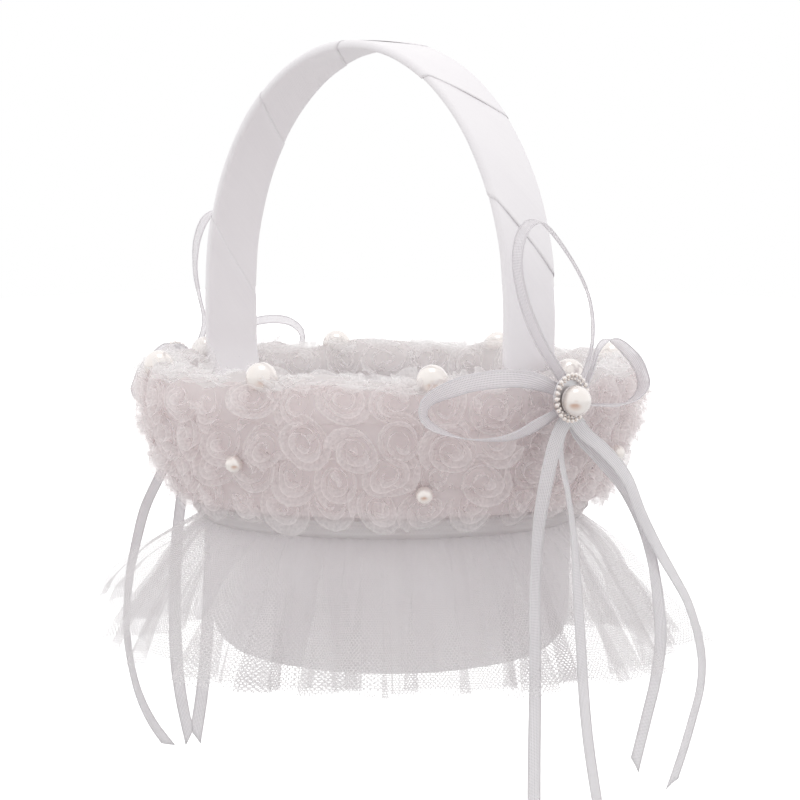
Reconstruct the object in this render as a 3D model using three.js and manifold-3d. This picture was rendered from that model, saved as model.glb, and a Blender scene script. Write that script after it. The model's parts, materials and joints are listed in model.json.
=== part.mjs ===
// Flower girl basket: a satin covered cup with a ribbon wrapped handle, a fluffy
// chiffon rosette rim, a gathered tulle skirt, pearls and two ribbon bows.
// Millimetres, +Z up. The handle's arch runs along X, and the origin is the middle of
// the underside of its crown, where the carrying hand goes.
import * as THREE from 'three';
import { mergeVertices } from 'three/addons/utils/BufferGeometryUtils.js';
import Module from 'manifold-3d';

const wasm = await Module();
wasm.setup();

// ---- driving dimensions ----
const gap = 0.3;                     // clearance between touching pieces
const turns = 36;                    // sides of the round pieces
const fabric = 0.6;                  // thickness of the satin skins

const crownHeight = 217.5;           // top of the handle above the underside of the base
const handleWidth = 23.5;
const handleThickness = 2.6;
const handleHalfSpan = 75.2;         // middle of a leg from the middle of the arch
const handleArchRise = 88.7;         // half height of the arch's ellipse
const handleShift = -9;              // the handle is fastened off the middle of the cup
const wallLean = 20;                 // degrees that the legs' feet lean with the wall
const coreThickness = 1.2;
const wrapWall = 0.4;
const stapleSize = [0.7, 9, 0.7];
const stapleHeight = 83;
const stapleSpacing = 11;
const legMiddleAtStaple = 67.5;      // middle of a leg from the middle of the cup

const baseDiscRadius = 46;
const baseDiscThickness = 1;
const tuckRadius = 38;               // the satin is turned under the base as far as this
const floorCardRadius = 47;
const floorCardThickness = 1.2;
const shellWall = 2;
const cornerRadius = 14;             // shell's lower corner, outside
const cupRadius = 63;                // shell's outside above the corner
const waistRadius = 64;
const waistHeight = 50;
const rimRadius = 81;
const rimHeight = 97;

const rollOuterRadius = 91;          // the roll of rosettes that covers the rim
const rollInnerRadius = 73.5;
const rollTop = 106.5;
const rollHalfHeight = 8.5;
const rollInnerLow = 89;
const rollArc = { start: -29, sweep: 238 };   // degrees of the roll's oval that are drawn
const legNotch = { thickness: 7.6, middleIn: 1.4, height: 30, middle: 104 };
const rowBulges = [10.5, 10.2, 9];   // how far each row of rosettes stands off the cover
const rowLevels = [89.2, 78.6, 68, 57.6];
const rowEdgeShare = 0.72;           // a row stands off less along its top and bottom
const bandLow = 50;
const bandBulge = 3.2;

const skirtTop = 49.6;
const hemHeight = 2.5;
const skirtThickness = 0.9;
const foldCount = 12;
const foldPeakAngle = 10;            // degrees, where one of the folds stands out most
const hemSpread = 12;                // the hem is wider on one diagonal by this
const skirtLayers = {
  skirt_inner: { topRadius: 65.1, hemRadius: 85, foldDepth: 5 },
  skirt_outer: { topRadius: 66.4, hemRadius: 95, foldDepth: 7 },
};

const rimPearlRadius = 5.3;
const rimPearlRing = 83.4;
const rimPearlHeight = 104.6;
const rimPearlAngles = [-75.6, -35.3, 1.5, 59.2, 105.6, 149.6, 191, 239.3];
const trimPearlRadius = 3;
const highTrimPearl = { ring: 86.2, height: 75.5 };
const lowTrimPearl = { ring: 81.6, height: 66.5 };
const trimPearls = [[-82, highTrimPearl], [-36.9, lowTrimPearl], [20, highTrimPearl],
  [88, lowTrimPearl], [140, highTrimPearl], [-150, lowTrimPearl]];

const ribbonWidth = 6;
const ribbonThickness = 0.6;
const ribbonStep = 12;               // length of one step along a tail
const knotCentre = [94.6, handleShift, 96.7];
const knotRadii = [3.3, 3.8, 4];
const broochShift = { y: -6.3, z: 2.2 };   // the brooch is pinned off the middle of the knot
const broochRadius = 7.5;
const broochThickness = 0.8;
const beadRingRadius = 7.6;
const beadRadius = 0.9;
const cabochonRadius = 5.1;          // a ball, cut flat underneath
const cabochonMiddle = 2.5;          // height of the ball's middle above its flat
const cabochonDrop = 0.8;            // it sits low in the ring of beads

const undersideOfCrown = crownHeight - handleThickness;
const radians = THREE.MathUtils.degToRad;

// ---- finishes ----
const finish = (color, roughness, metalness = 0) =>
  new THREE.MeshStandardMaterial({ color, roughness, metalness });
const satin = finish(0xf3f0f3, 0.45);
const chiffon = finish(0xf6f3f4, 0.9);
const tulle = finish(0xf4f2f4, 0.85);
const ribbonCloth = finish(0xf5f3f6, 0.5);
const pearl = finish(0xf7f0ea, 0.2);
const board = finish(0xe8e4dc, 0.8);
const steel = finish(0xb8b8bc, 0.35, 1);

// Everything is placed from the middle of the cup's underside, and this group carries
// it to the hand's place under the crown.
const basket = new THREE.Group();
const stand = new THREE.Group();
stand.position.set(0, -handleShift, -undersideOfCrown);
basket.add(stand);

function add(name, geometry, material) {
  const mesh = new THREE.Mesh(geometry, material);
  mesh.name = name;
  stand.add(mesh);
}

// ---- shared makers ----
// A lathe turns about Y, so its piece is stood up to turn about Z.
function turned(points, sides = turns) {
  const profile = points.map(([radius, z]) => new THREE.Vector2(radius, z));
  const geometry = new THREE.LatheGeometry(profile, sides);
  geometry.rotateX(Math.PI / 2);
  return geometry;
}

function ring(points, sides = turns) {
  return turned([...points, points[0]], sides);
}

function disc(radius, low, thickness) {
  return turned([[0, low], [radius, low], [radius, low + thickness], [0, low + thickness]]);
}

function ball(radius, centre, around = 12, up = 8) {
  const geometry = new THREE.SphereGeometry(radius, around, up);
  geometry.translate(...centre);
  return geometry;
}

function onCircle(radius, degrees, z) {
  return [radius * Math.cos(radians(degrees)), radius * Math.sin(radians(degrees)), z];
}

function toSolid(geometry) {
  const bare = geometry.clone();
  bare.deleteAttribute('normal');
  bare.deleteAttribute('uv');
  const merged = mergeVertices(bare, 1e-4);
  return new wasm.Manifold(new wasm.Mesh({
    numProp: 3,
    vertProperties: new Float32Array(merged.attributes.position.array),
    triVerts: new Uint32Array(merged.index.array),
  }));
}

function cutBy(geometry, cutters) {
  let solid = toSolid(geometry);
  for (const cutter of cutters) solid = solid.subtract(toSolid(cutter));
  const mesh = solid.getMesh();
  const cut = new THREE.BufferGeometry();
  cut.setAttribute('position', new THREE.BufferAttribute(mesh.vertProperties, 3));
  cut.setIndex(new THREE.BufferAttribute(mesh.triVerts, 1));
  cut.computeVertexNormals();
  return cut;
}

// A section swept along a line, with its width kept along a given direction.
function sweep(section, line, steps, widthAt) {
  line.computeFrenetFrames = (segments) => {
    const frames = { tangents: [], normals: [], binormals: [] };
    for (let i = 0; i <= segments; i += 1) {
      const tangent = line.getTangentAt(i / segments);
      const width = widthAt(i / segments, line).clone();
      width.addScaledVector(tangent, -width.dot(tangent)).normalize();
      frames.tangents.push(tangent);
      frames.normals.push(width);
      frames.binormals.push(new THREE.Vector3().crossVectors(tangent, width));
    }
    return frames;
  };
  return new THREE.ExtrudeGeometry(section, { steps, bevelEnabled: false, extrudePath: line });
}

function rectangle(width, height, Kind = THREE.Shape) {
  return new Kind([[-1, -1], [1, -1], [1, 1], [-1, 1]]
    .map(([x, y]) => new THREE.Vector2(x * width / 2, y * height / 2)));
}

function smoothLine(points) {
  return new THREE.CatmullRomCurve3(points.map((point) => new THREE.Vector3(...point)),
    false, 'centripetal');
}

// ---- the cup: the shell's outside line, pushed out or in by an offset ----
const cornerHeight = baseDiscThickness + 2 * gap + fabric + cornerRadius;

function wallRadius(z) {
  if (z < waistHeight) return waistRadius;
  const flare = (z - waistHeight) / (rimHeight - waistHeight);
  return waistRadius + (rimRadius - waistRadius) * flare;
}

function wallLine(offset, top) {
  const cornerSteps = 4;
  const line = [];
  for (let i = 0; i <= cornerSteps; i += 1) {
    const angle = (Math.PI / 2) * (i / cornerSteps - 1);
    line.push([cupRadius - cornerRadius + (cornerRadius + offset) * Math.cos(angle),
      cornerHeight + (cornerRadius + offset) * Math.sin(angle)]);
  }
  line.push([waistRadius + offset, waistHeight], [wallRadius(top) + offset, top]);
  return line;
}

function cup(outside, inside, top) {
  const outer = wallLine(outside, top);
  const inner = wallLine(inside, top).reverse();
  return turned([[0, outer[0][1]], ...outer, ...inner, [0, inner.at(-1)[1]]]);
}

const coverOutside = gap + fabric;
const liningOutside = -shellWall - gap;
const liningInside = liningOutside - fabric;

function outerCover() {
  const outer = wallLine(coverOutside, rimHeight);
  const inner = wallLine(gap, rimHeight).reverse();
  return ring([[tuckRadius, outer[0][1]], ...outer, ...inner, [tuckRadius, inner.at(-1)[1]]]);
}

add('base_disc', disc(baseDiscRadius, 0, baseDiscThickness), satin);
add('outer_cover', outerCover(), satin);
add('basket_shell', cup(0, -shellWall, rimHeight), board);
add('inner_lining', cup(liningOutside, liningInside, rimHeight), satin);
const floorTop = cornerHeight - cornerRadius - liningInside;
add('floor_card', disc(floorCardRadius, floorTop + gap, floorCardThickness), board);

// ---- handle: a springy strip in a ribbon wrap, stapled to the wall inside the rim ----
function handleLine() {
  const foot = [[64, 73], [69.1, 87], [73, 97.7], [74.9, 106], [handleHalfSpan, 116]];
  const archCentre = crownHeight - handleThickness / 2 - handleArchRise;
  const archSteps = 14;
  const arch = [];
  for (let i = 0; i <= archSteps; i += 1) {
    const angle = Math.PI * (i / archSteps);
    arch.push([handleHalfSpan * Math.cos(angle), archCentre + handleArchRise * Math.sin(angle)]);
  }
  const farFoot = foot.map(([x, z]) => [-x, z]).reverse();
  return smoothLine([...foot, ...arch, ...farFoot].map(([x, z]) => [x, handleShift, z]));
}

const handleSteps = 42;
const acrossHandle = () => new THREE.Vector3(0, 1, 0);
const hollowWidth = handleWidth - 2 * wrapWall;
const hollowThickness = handleThickness - 2 * wrapWall;
const wrapSection = rectangle(handleWidth, handleThickness);
wrapSection.holes.push(rectangle(hollowWidth, hollowThickness, THREE.Path));
const coreSection = rectangle(hollowWidth - 2 * gap, coreThickness);
add('handle_core', sweep(coreSection, handleLine(), handleSteps, acrossHandle), board);
add('handle_wrap', sweep(wrapSection, handleLine(), handleSteps, acrossHandle), satin);

function staple(side, y) {
  const faceOffset = (handleThickness / 2 + gap + stapleSize[0] / 2) / Math.cos(radians(wallLean));
  const geometry = new THREE.BoxGeometry(...stapleSize);
  geometry.rotateY(side * radians(wallLean));
  geometry.translate(side * (legMiddleAtStaple - faceOffset), y, stapleHeight);
  return geometry;
}

for (const [side, sideName] of [[1, 'near'], [-1, 'far']]) {
  add(`staple_${sideName}_1`, staple(side, handleShift - stapleSpacing / 2), steel);
  add(`staple_${sideName}_2`, staple(side, handleShift + stapleSpacing / 2), steel);
}

// ---- rosette rim: a roll over the rim and three rows down the flare ----
const trimInside = coverOutside + gap;
const besideCover = (z) => wallRadius(z) + trimInside;
const besideLining = (z) => wallRadius(z) + liningInside - gap;

// Pearls sit in dimples, so the trim is cut by slightly larger balls.
function dimples(pearls, radius) {
  return pearls.map((centre) => ball(radius + gap, centre));
}

// The roll is notched where each leg leans through it.
function legRoom(side) {
  const { thickness, middleIn, height, middle } = legNotch;
  const room = new THREE.BoxGeometry(thickness, handleWidth + 2 * gap, height);
  room.translate(side * (handleHalfSpan - middleIn), handleShift, middle);
  return room;
}

function rimRoll(pearls) {
  const middleRadius = (rollOuterRadius + rollInnerRadius) / 2;
  const halfWidth = (rollOuterRadius - rollInnerRadius) / 2;
  const low = rowLevels[0] + gap;
  const slotTop = rimHeight + gap;
  const arcSteps = 6;
  const outline = [[besideCover(low), low]];
  for (let i = 0; i <= arcSteps; i += 1) {
    const angle = radians(rollArc.start + rollArc.sweep * (i / arcSteps));
    outline.push([middleRadius + halfWidth * Math.cos(angle),
      rollTop - rollHalfHeight + rollHalfHeight * Math.sin(angle)]);
  }
  outline.push([besideLining(rollInnerLow), rollInnerLow], [besideLining(slotTop), slotTop],
    [besideCover(slotTop), slotTop]);
  return cutBy(ring(outline), [legRoom(1), legRoom(-1), ...dimples(pearls, rimPearlRadius)]);
}

function rosetteRow(low, high, bulge, pearls) {
  const middle = (low + high) / 2;
  const edge = bulge * rowEdgeShare;
  const body = ring([[besideCover(low), low], [besideCover(low) + edge, low],
    [besideCover(middle) + bulge, middle], [besideCover(high) + edge, high],
    [besideCover(high), high]]);
  return cutBy(body, dimples(pearls, trimPearlRadius));
}

const rimPearlCentres = rimPearlAngles.map((angle) => onCircle(rimPearlRing, angle, rimPearlHeight));
const trimPearlCentres = trimPearls.map(([angle, place]) => onCircle(place.ring, angle, place.height));
add('rim_roll', rimRoll(rimPearlCentres), chiffon);
rowBulges.forEach((bulge, index) => {
  const high = rowLevels[index];
  const low = rowLevels[index + 1] + gap;
  const reach = trimPearlRadius + gap;
  const inRow = trimPearlCentres.filter(([, , z]) => z > low - reach && z < high + reach);
  add(`rosette_row_${index + 1}`, rosetteRow(low, high, bulge, inRow), chiffon);
});
rimPearlCentres.forEach((centre, index) => {
  add(`rim_pearl_${index + 1}`, ball(rimPearlRadius, centre), pearl);
});
trimPearlCentres.forEach((centre, index) => {
  add(`trim_pearl_${index + 1}`, ball(trimPearlRadius, centre, 8, 6), pearl);
});

// ---- waist band and the two layers of the gathered skirt ----
function waistBand() {
  const high = rowLevels.at(-1);
  return ring([[besideCover(bandLow), bandLow], [besideCover(bandLow) + bandBulge, bandLow],
    [besideCover(high) + bandBulge, high], [besideCover(high), high]]);
}

// The folds grow from nothing at the gathers to their full depth at the hem.
function skirtRadius(angle, drop, { topRadius, hemRadius, foldDepth }) {
  const spread = hemSpread * Math.cos(2 * (angle - Math.PI / 4));
  const fold = foldDepth * Math.cos(foldCount * (angle - radians(foldPeakAngle)));
  const flare = 0.35 * Math.sin(drop * Math.PI / 2) + 0.65 * drop;
  return topRadius + (hemRadius + spread - topRadius) * flare + fold * drop;
}

// The ring starts as two nested walls of radius 1 and 2, whose height is the drop.
function skirt(layer) {
  const rows = 4;
  const walls = [];
  for (let i = 0; i <= rows; i += 1) walls.push([1, i / rows]);
  for (let i = rows; i >= 0; i -= 1) walls.push([2, i / rows]);
  const geometry = ring(walls, foldCount * 4);
  const place = geometry.attributes.position;
  for (let i = 0; i < place.count; i += 1) {
    const angle = Math.atan2(place.getY(i), place.getX(i));
    const drop = place.getZ(i);
    const isOutside = Math.hypot(place.getX(i), place.getY(i)) > 1.5;
    const radius = skirtRadius(angle, drop, layer) + (isOutside ? skirtThickness : 0);
    place.setXYZ(i, radius * Math.cos(angle), radius * Math.sin(angle),
      skirtTop + (hemHeight - skirtTop) * drop);
  }
  return geometry;
}

add('waist_band', waistBand(), tulle);
for (const [name, layer] of Object.entries(skirtLayers)) add(name, skirt(layer), tulle);

// ---- bows: loops and tails of flat ribbon round a knot, under a pearl brooch ----
// The near bow is on +X. Each route is the middle line of one ribbon.
const nearBow = {
  side: 1,
  loops: {
    up: [[94.6, -10.5, 101.1], [94, -16, 108], [93.4, -24, 118], [93, -31.5, 132], [93, -34.5, 145],
      [93, -31.5, 154], [93, -24.5, 157], [93, -12, 148], [93.3, 0.5, 131], [93.6, 2, 117],
      [94.2, -2, 107], [94.6, -7, 101.2]],
    left: [[94.6, -13.4, 99.2], [94.6, -21, 102.6], [93.8, -31, 105.5], [90.2, -42, 106],
      [83.4, -52, 103.8], [76, -59.3, 98.4], [75.6, -59.6, 93], [82.4, -51, 87.2],
      [90.4, -36.5, 86.4], [94, -23, 91], [94.9, -13.6, 94.9]],
    right: [[94.6, -4.7, 98.7], [94.4, 0.5, 106.4], [93.4, 6, 113.8], [91.5, 14, 116.4],
      [89.4, 24.5, 112], [87.4, 33.5, 105.6], [86.8, 37, 99.4], [89.4, 29, 95],
      [93.8, 13, 94.4], [95, 3.5, 94.8], [95, -4.6, 95.4]],
  },
  tails: [
    [[95.6, -12, 92.2], [95.6, -16, 88], [95.4, -18.6, 83], [94, -20.2, 74], [91.4, -21.4, 58],
      [90.6, -22, 45], [91.8, -24, 32], [93.2, -25.2, 19], [93.9, -25.8, -1], [93.4, -25.4, -21],
      [92.8, -24.7, -42]],
    [[94.2, -10.5, 92.2], [93.6, -13.6, 84], [93.8, -13, 76], [94.6, -11.2, 67.5],
      [96.6, -9.8, 51], [97.8, -9.8, 39], [99, -9.9, 27.5], [100.2, -10, 16], [100.8, -9.6, 4],
      [101.4, -7.6, -16], [102.9, -3.4, -43]],
    [[93.2, -7.3, 92.2], [93.4, -2, 86.4], [96, 6, 79.6], [98, 15, 70], [98.6, 22.8, 56],
      [98, 32, 44], [97, 42, 33], [95.8, 50.5, 23.5], [94, 57.4, 14], [92.8, 61.8, 5], [92, 63.8, -2],
      [91, 63.9, -11], [89.8, 61.4, -21], [88.7, 57.8, -32], [87.4, 53.4, -43.5]],
    [[92, -6.3, 92.2], [91.6, -1.6, 85.4], [92.8, 7.6, 76.5], [94.8, 16.8, 66.7], [95.4, 25.4, 54],
      [95.6, 31.4, 40], [96, 34.4, 26], [95.8, 36.2, 11], [94.4, 35.4, -3], [92.6, 33, -16],
      [90.4, 29.6, -32.5]],
  ],
};
const farBow = {
  side: -1,
  loops: {
    up: [[-94.6, -10.5, 101.1], [-94.2, -7.4, 108], [-93.8, -6, 114], [-93.4, -9.4, 126],
      [-93.2, -11.2, 135], [-93.2, -9.6, 147], [-93.2, -4, 155], [-93.2, 3, 156.4], [-93.2, 9, 150],
      [-93.3, 11, 138], [-93.6, 7.5, 122], [-94.2, -1, 108], [-94.6, -7, 101.2]],
    left: [[-94.6, -13.4, 99.2], [-94.5, -20.3, 105.5], [-92, -31.5, 102.8], [-86.8, -43, 98.4],
      [-82.6, -49.4, 92.6], [-83.4, -47.8, 88.4], [-87.6, -39.6, 86], [-92, -28.5, 87.4],
      [-94.8, -19, 91], [-94.9, -13.6, 94.9]],
    right: [[-94.6, -4.7, 98.7], [-94.6, 3, 105.5], [-93, 15.5, 112.5], [-90.6, 26.5, 114],
      [-88.4, 34, 112.4], [-87.4, 38.4, 108], [-87.8, 37.6, 102.4], [-90.2, 31, 96],
      [-93.6, 18, 93.4], [-95, 5, 94.2], [-95, -4.6, 95.4]],
  },
  tails: [
    [[-95.6, -10.5, 92.2], [-97.6, -12.5, 80], [-100.4, -16.4, 66], [-103, -21.4, 55],
      [-104.4, -26.8, 44.5], [-103.8, -31.6, 33], [-102.6, -36, 21.5], [-101.2, -38.8, 11],
      [-99.9, -40.4, 0], [-98, -40, -13], [-95.9, -37.8, -25], [-93.2, -33.8, -35.5],
      [-89.8, -29, -44]],
    [[-94.4, -9.5, 92.2], [-96, -9.6, 80], [-99.6, -9.8, 64], [-103.4, -10, 47], [-106, -10.2, 30],
      [-107.6, -10, 13], [-108.2, -9.5, -4], [-108, -8.8, -19], [-106.6, -7.6, -33],
      [-104, -6, -47]],
    [[-93.2, -7.3, 92.2], [-94.4, -4.6, 78], [-96.6, -1.6, 62], [-99, 1, 46], [-101.4, 3, 30],
      [-104, 4.6, 13], [-106, 5.4, -4], [-107, 5, -18], [-107, 3, -32], [-106.4, -1, -48]],
  ],
};

// A ribbon's section: flat, with its long edges slightly rounded.
function ribbonSection() {
  const [halfWidth, halfThickness] = [ribbonWidth / 2, ribbonThickness / 2];
  const corners = [[1, 0.4], [0.93, 1], [-0.93, 1], [-1, 0.4], [-1, -0.4], [-0.93, -1],
    [0.93, -1], [1, -0.4]];
  return new THREE.Shape(corners.map(([x, y]) => new THREE.Vector2(x * halfWidth, y * halfThickness)));
}

// A loop stands on edge, so its width points away from the middle of the cup.
function outward(t, line) {
  const point = line.getPointAt(t);
  return new THREE.Vector3(point.x, point.y * 0.7, 0);
}

// A tail lies flat against the skirt, so its width runs round the cup.
function sideways(t, line) {
  const point = line.getPointAt(t);
  return new THREE.Vector3(-point.y, point.x, 0);
}

function loop(route) {
  return sweep(rectangle(ribbonWidth, ribbonThickness), smoothLine(route), 22, outward);
}

function tail(route) {
  const line = smoothLine(route);
  return sweep(ribbonSection(), line, Math.round(line.getLength() / ribbonStep), sideways);
}

function knot(side) {
  const geometry = new THREE.SphereGeometry(1, 10, 8);
  geometry.scale(...knotRadii);
  geometry.translate(side * knotCentre[0], knotCentre[1], knotCentre[2]);
  return geometry;
}

// Brooch pieces are made facing +Z and turned to face away from the cup.
function facingOut(geometry, side, distance) {
  geometry.rotateY(side * Math.PI / 2);
  geometry.translate(side * (knotCentre[0] + knotRadii[0] + distance),
    knotCentre[1] + broochShift.y, knotCentre[2] + broochShift.z);
  return geometry;
}

function cabochon(side, distance) {
  const steps = 8;
  const start = -Math.asin(cabochonMiddle / cabochonRadius);
  const ball = [[0, 0]];
  for (let i = 0; i <= steps; i += 1) {
    const angle = start + (Math.PI / 2 - start) * (i / steps);
    ball.push([cabochonRadius * Math.cos(angle), cabochonMiddle + cabochonRadius * Math.sin(angle)]);
  }
  const geometry = facingOut(turned(ball, 16), side, distance);
  geometry.translate(0, 0, -cabochonDrop);
  return geometry;
}

function bow(name, { side, loops, tails }) {
  for (const [place, route] of Object.entries(loops)) add(`${name}_loop_${place}`, loop(route), ribbonCloth);
  tails.forEach((route, index) => add(`${name}_tail_${index + 1}`, tail(route), ribbonCloth));
  add(`${name}_knot`, knot(side), ribbonCloth);
  const onPlate = gap + broochThickness + gap;
  add(`${name}_brooch_plate`, facingOut(disc(broochRadius, 0, broochThickness), side, gap), steel);
  const beads = new THREE.TorusGeometry(beadRingRadius, beadRadius, 5, 24);
  add(`${name}_bead_ring`, facingOut(beads, side, onPlate + beadRadius), pearl);
  add(`${name}_cabochon`, cabochon(side, onPlate), pearl);
}

bow('near_bow', nearBow);
bow('far_bow', farBow);

export default basket;
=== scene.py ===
import json
import math

import bmesh
import bpy
import numpy as np
from mathutils import Matrix, Vector

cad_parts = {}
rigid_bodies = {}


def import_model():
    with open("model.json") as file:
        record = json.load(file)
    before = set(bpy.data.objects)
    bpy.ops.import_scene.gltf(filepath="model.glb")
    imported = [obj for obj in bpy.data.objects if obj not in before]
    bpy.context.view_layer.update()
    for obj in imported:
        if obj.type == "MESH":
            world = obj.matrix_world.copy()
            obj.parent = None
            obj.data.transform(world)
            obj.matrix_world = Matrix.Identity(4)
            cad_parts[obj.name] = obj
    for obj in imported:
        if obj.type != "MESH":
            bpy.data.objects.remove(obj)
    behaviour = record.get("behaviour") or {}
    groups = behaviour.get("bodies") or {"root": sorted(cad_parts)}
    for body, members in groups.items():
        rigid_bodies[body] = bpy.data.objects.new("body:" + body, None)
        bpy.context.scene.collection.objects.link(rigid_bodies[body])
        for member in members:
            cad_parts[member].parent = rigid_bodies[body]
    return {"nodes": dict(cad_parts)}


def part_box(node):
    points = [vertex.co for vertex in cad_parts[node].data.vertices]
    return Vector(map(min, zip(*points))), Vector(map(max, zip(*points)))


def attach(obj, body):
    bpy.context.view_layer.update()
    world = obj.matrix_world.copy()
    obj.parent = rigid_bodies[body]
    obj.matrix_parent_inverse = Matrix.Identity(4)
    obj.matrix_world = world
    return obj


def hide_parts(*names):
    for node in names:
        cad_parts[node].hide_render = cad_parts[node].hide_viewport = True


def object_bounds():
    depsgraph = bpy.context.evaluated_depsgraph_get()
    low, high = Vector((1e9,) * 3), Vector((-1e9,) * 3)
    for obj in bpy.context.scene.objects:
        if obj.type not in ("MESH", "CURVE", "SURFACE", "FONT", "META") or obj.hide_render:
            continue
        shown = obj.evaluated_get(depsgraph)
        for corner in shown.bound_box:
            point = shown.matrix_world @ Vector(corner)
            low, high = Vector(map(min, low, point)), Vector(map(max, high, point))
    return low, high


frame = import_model()
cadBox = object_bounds()
discLow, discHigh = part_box("base_disc")
cupFoot = Vector(((discLow[0] + discHigh[0]) / 2, (discLow[1] + discHigh[1]) / 2, discLow[2]))
intoFrame = Matrix.Translation(cupFoot) @ Matrix.Scale(0.001, 4)
print("frame loaded, the cup stands at", tuple(round(value, 4) for value in cupFoot))


# ---- small helpers ----
def settle(mesh):
    mesh.transform(intoFrame)
    mesh.update()
    return mesh


def colour(hexValue):
    # sRGB hex to linear RGBA
    parts = [int(hexValue[i:i + 2], 16) / 255 for i in (1, 3, 5)]
    return tuple(p / 12.92 if p <= 0.04045 else ((p + 0.055) / 1.055) ** 2.4 for p in parts) + (1,)


def addNode(tree, kind, inputs=None, **settings):
    node = tree.nodes.new(kind)
    for name, value in settings.items():
        setattr(node, name, value)
    for name, value in (inputs or {}).items():
        if isinstance(value, bpy.types.NodeSocket):
            tree.links.new(value, node.inputs[name])
        else:
            node.inputs[name].default_value = value
    return node


def smoothRoute(points, step):
    # centripetal curve through the points, cut into even steps
    points = np.array(points, float)
    points = np.vstack([2 * points[0] - points[1], points, 2 * points[-1] - points[-2]])
    fine = []
    for a, b, c, d in zip(points, points[1:], points[2:], points[3:]):
        t1 = np.linalg.norm(b - a) ** 0.5
        t2 = t1 + np.linalg.norm(c - b) ** 0.5
        t3 = t2 + np.linalg.norm(d - c) ** 0.5
        t = np.linspace(t1, t2, 24, endpoint=False)[:, None]
        ab = (t1 - t) / t1 * a + t / t1 * b
        bc = (t2 - t) / (t2 - t1) * b + (t - t1) / (t2 - t1) * c
        cd = (t3 - t) / (t3 - t2) * c + (t - t2) / (t3 - t2) * d
        abc = (t2 - t) / t2 * ab + t / t2 * bc
        bcd = (t3 - t) / (t3 - t1) * bc + (t - t1) / (t3 - t1) * cd
        fine.append((t2 - t) / (t2 - t1) * abc + (t - t1) / (t2 - t1) * bcd)
    fine = np.vstack(fine + [points[-2][None]])
    along = np.concatenate([[0], np.cumsum(np.linalg.norm(np.diff(fine, axis=0), axis=1))])
    places = np.linspace(0, along[-1], max(3, int(round(along[-1] / step)) + 1))
    return np.stack([np.interp(places, along, fine[:, i]) for i in range(3)], axis=1), places


def unit(vectors):
    return vectors / np.linalg.norm(vectors, axis=-1, keepdims=True)


def addPiece(name, mesh, nodes, material=None, smooth=True):
    if material:
        mesh.materials.clear()
        mesh.materials.append(material)
    mesh.polygons.foreach_set("use_smooth", [smooth] * len(mesh.polygons))
    piece = bpy.data.objects.new(name, settle(mesh))
    bpy.context.scene.collection.objects.link(piece)
    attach(piece, "root")
    if nodes:
        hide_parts(*nodes)
    return piece


def gridMesh(name, points, uvs, mend=True):
    # a net of quads; rows run up and columns run anticlockwise for faces that look out
    rows, columns = points.shape[:2]
    index = np.arange(rows * columns).reshape(rows, columns)
    faces = np.stack([index[:-1, :-1], index[:-1, 1:], index[1:, 1:], index[1:, :-1]], axis=-1)
    faces = faces.reshape(-1, 4)
    mesh = bpy.data.meshes.new(name)
    mesh.from_pydata(points.reshape(-1, 3).tolist(), [], faces.tolist())
    layer = mesh.uv_layers.new(name="cloth")
    layer.data.foreach_set("uv", uvs.reshape(-1, 2)[faces.ravel()].ravel())
    if mend:
        shape = bmesh.new()
        shape.from_mesh(mesh)
        bmesh.ops.remove_doubles(shape, verts=shape.verts, dist=0.004)
        bmesh.ops.dissolve_degenerate(shape, edges=shape.edges, dist=0.001)
        shape.to_mesh(mesh)
        shape.free()
    return mesh


def spunMesh(name, profile, sides=128, ripple=None):
    # a profile of (radius, height) turned round the cup's axis
    profile = np.array(profile, float)
    angle = np.linspace(0, 2 * np.pi, sides + 1)[None]
    radius, height = profile[:, :1] + 0 * angle, profile[:, 1:] + 0 * angle
    if ripple:
        radius = radius + ripple(angle, height, radius)
    points = np.stack([radius * np.cos(angle), radius * np.sin(angle), height], axis=-1)
    along = np.concatenate([[0], np.cumsum(np.linalg.norm(np.diff(profile, axis=0), axis=1))])
    widest = profile[:, 0].max()
    uvs = np.stack([angle * widest + 0 * radius, along[:, None] + 0 * angle], axis=-1)
    return gridMesh(name, points, uvs)


def joined(name, pieces):
    # several meshes made one, each with its own finish
    shape, finishes = bmesh.new(), []
    for mesh, finish in pieces:
        if finish not in finishes:
            finishes.append(finish)
        first = len(shape.faces)
        shape.from_mesh(mesh)
        shape.faces.ensure_lookup_table()
        for face in shape.faces[first:]:
            face.material_index = finishes.index(finish)
    whole = bpy.data.meshes.new(name)
    shape.to_mesh(whole)
    shape.free()
    for finish in finishes:
        whole.materials.append(finish)
    return whole


# ---- camera ----
view = {"lens": 126.45, "sensor": 36, "azimuth": 45, "distance": 1.0, "height": 0.185,
        "aside": 0.0035, "tilt": 5.4}


def makeCamera():
    turn, tilt = math.radians(view["azimuth"]), math.radians(view["tilt"])
    back = Vector((math.sin(turn), -math.cos(turn), 0))
    right = Vector((math.cos(turn), math.sin(turn), 0))
    lens = bpy.data.cameras.new("camera")
    lens.lens, lens.sensor_width = view["lens"], view["sensor"]
    camera = bpy.data.objects.new("camera", lens)
    bpy.context.scene.collection.objects.link(camera)
    camera.location = cupFoot + back * view["distance"] + Vector((0, 0, view["height"])) \
        + right * view["aside"]
    facing = back * math.cos(tilt) + Vector((0, 0, math.sin(tilt)))
    camera.rotation_euler = facing.to_track_quat("Z", "Y").to_euler()
    bpy.context.scene.camera = camera


makeCamera()
print("camera ready")


# ---- finishes ----
def startMaterial(name):
    material = bpy.data.materials.new(name)
    material.use_nodes = True
    material.node_tree.nodes.clear()
    return material, material.node_tree


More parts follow.
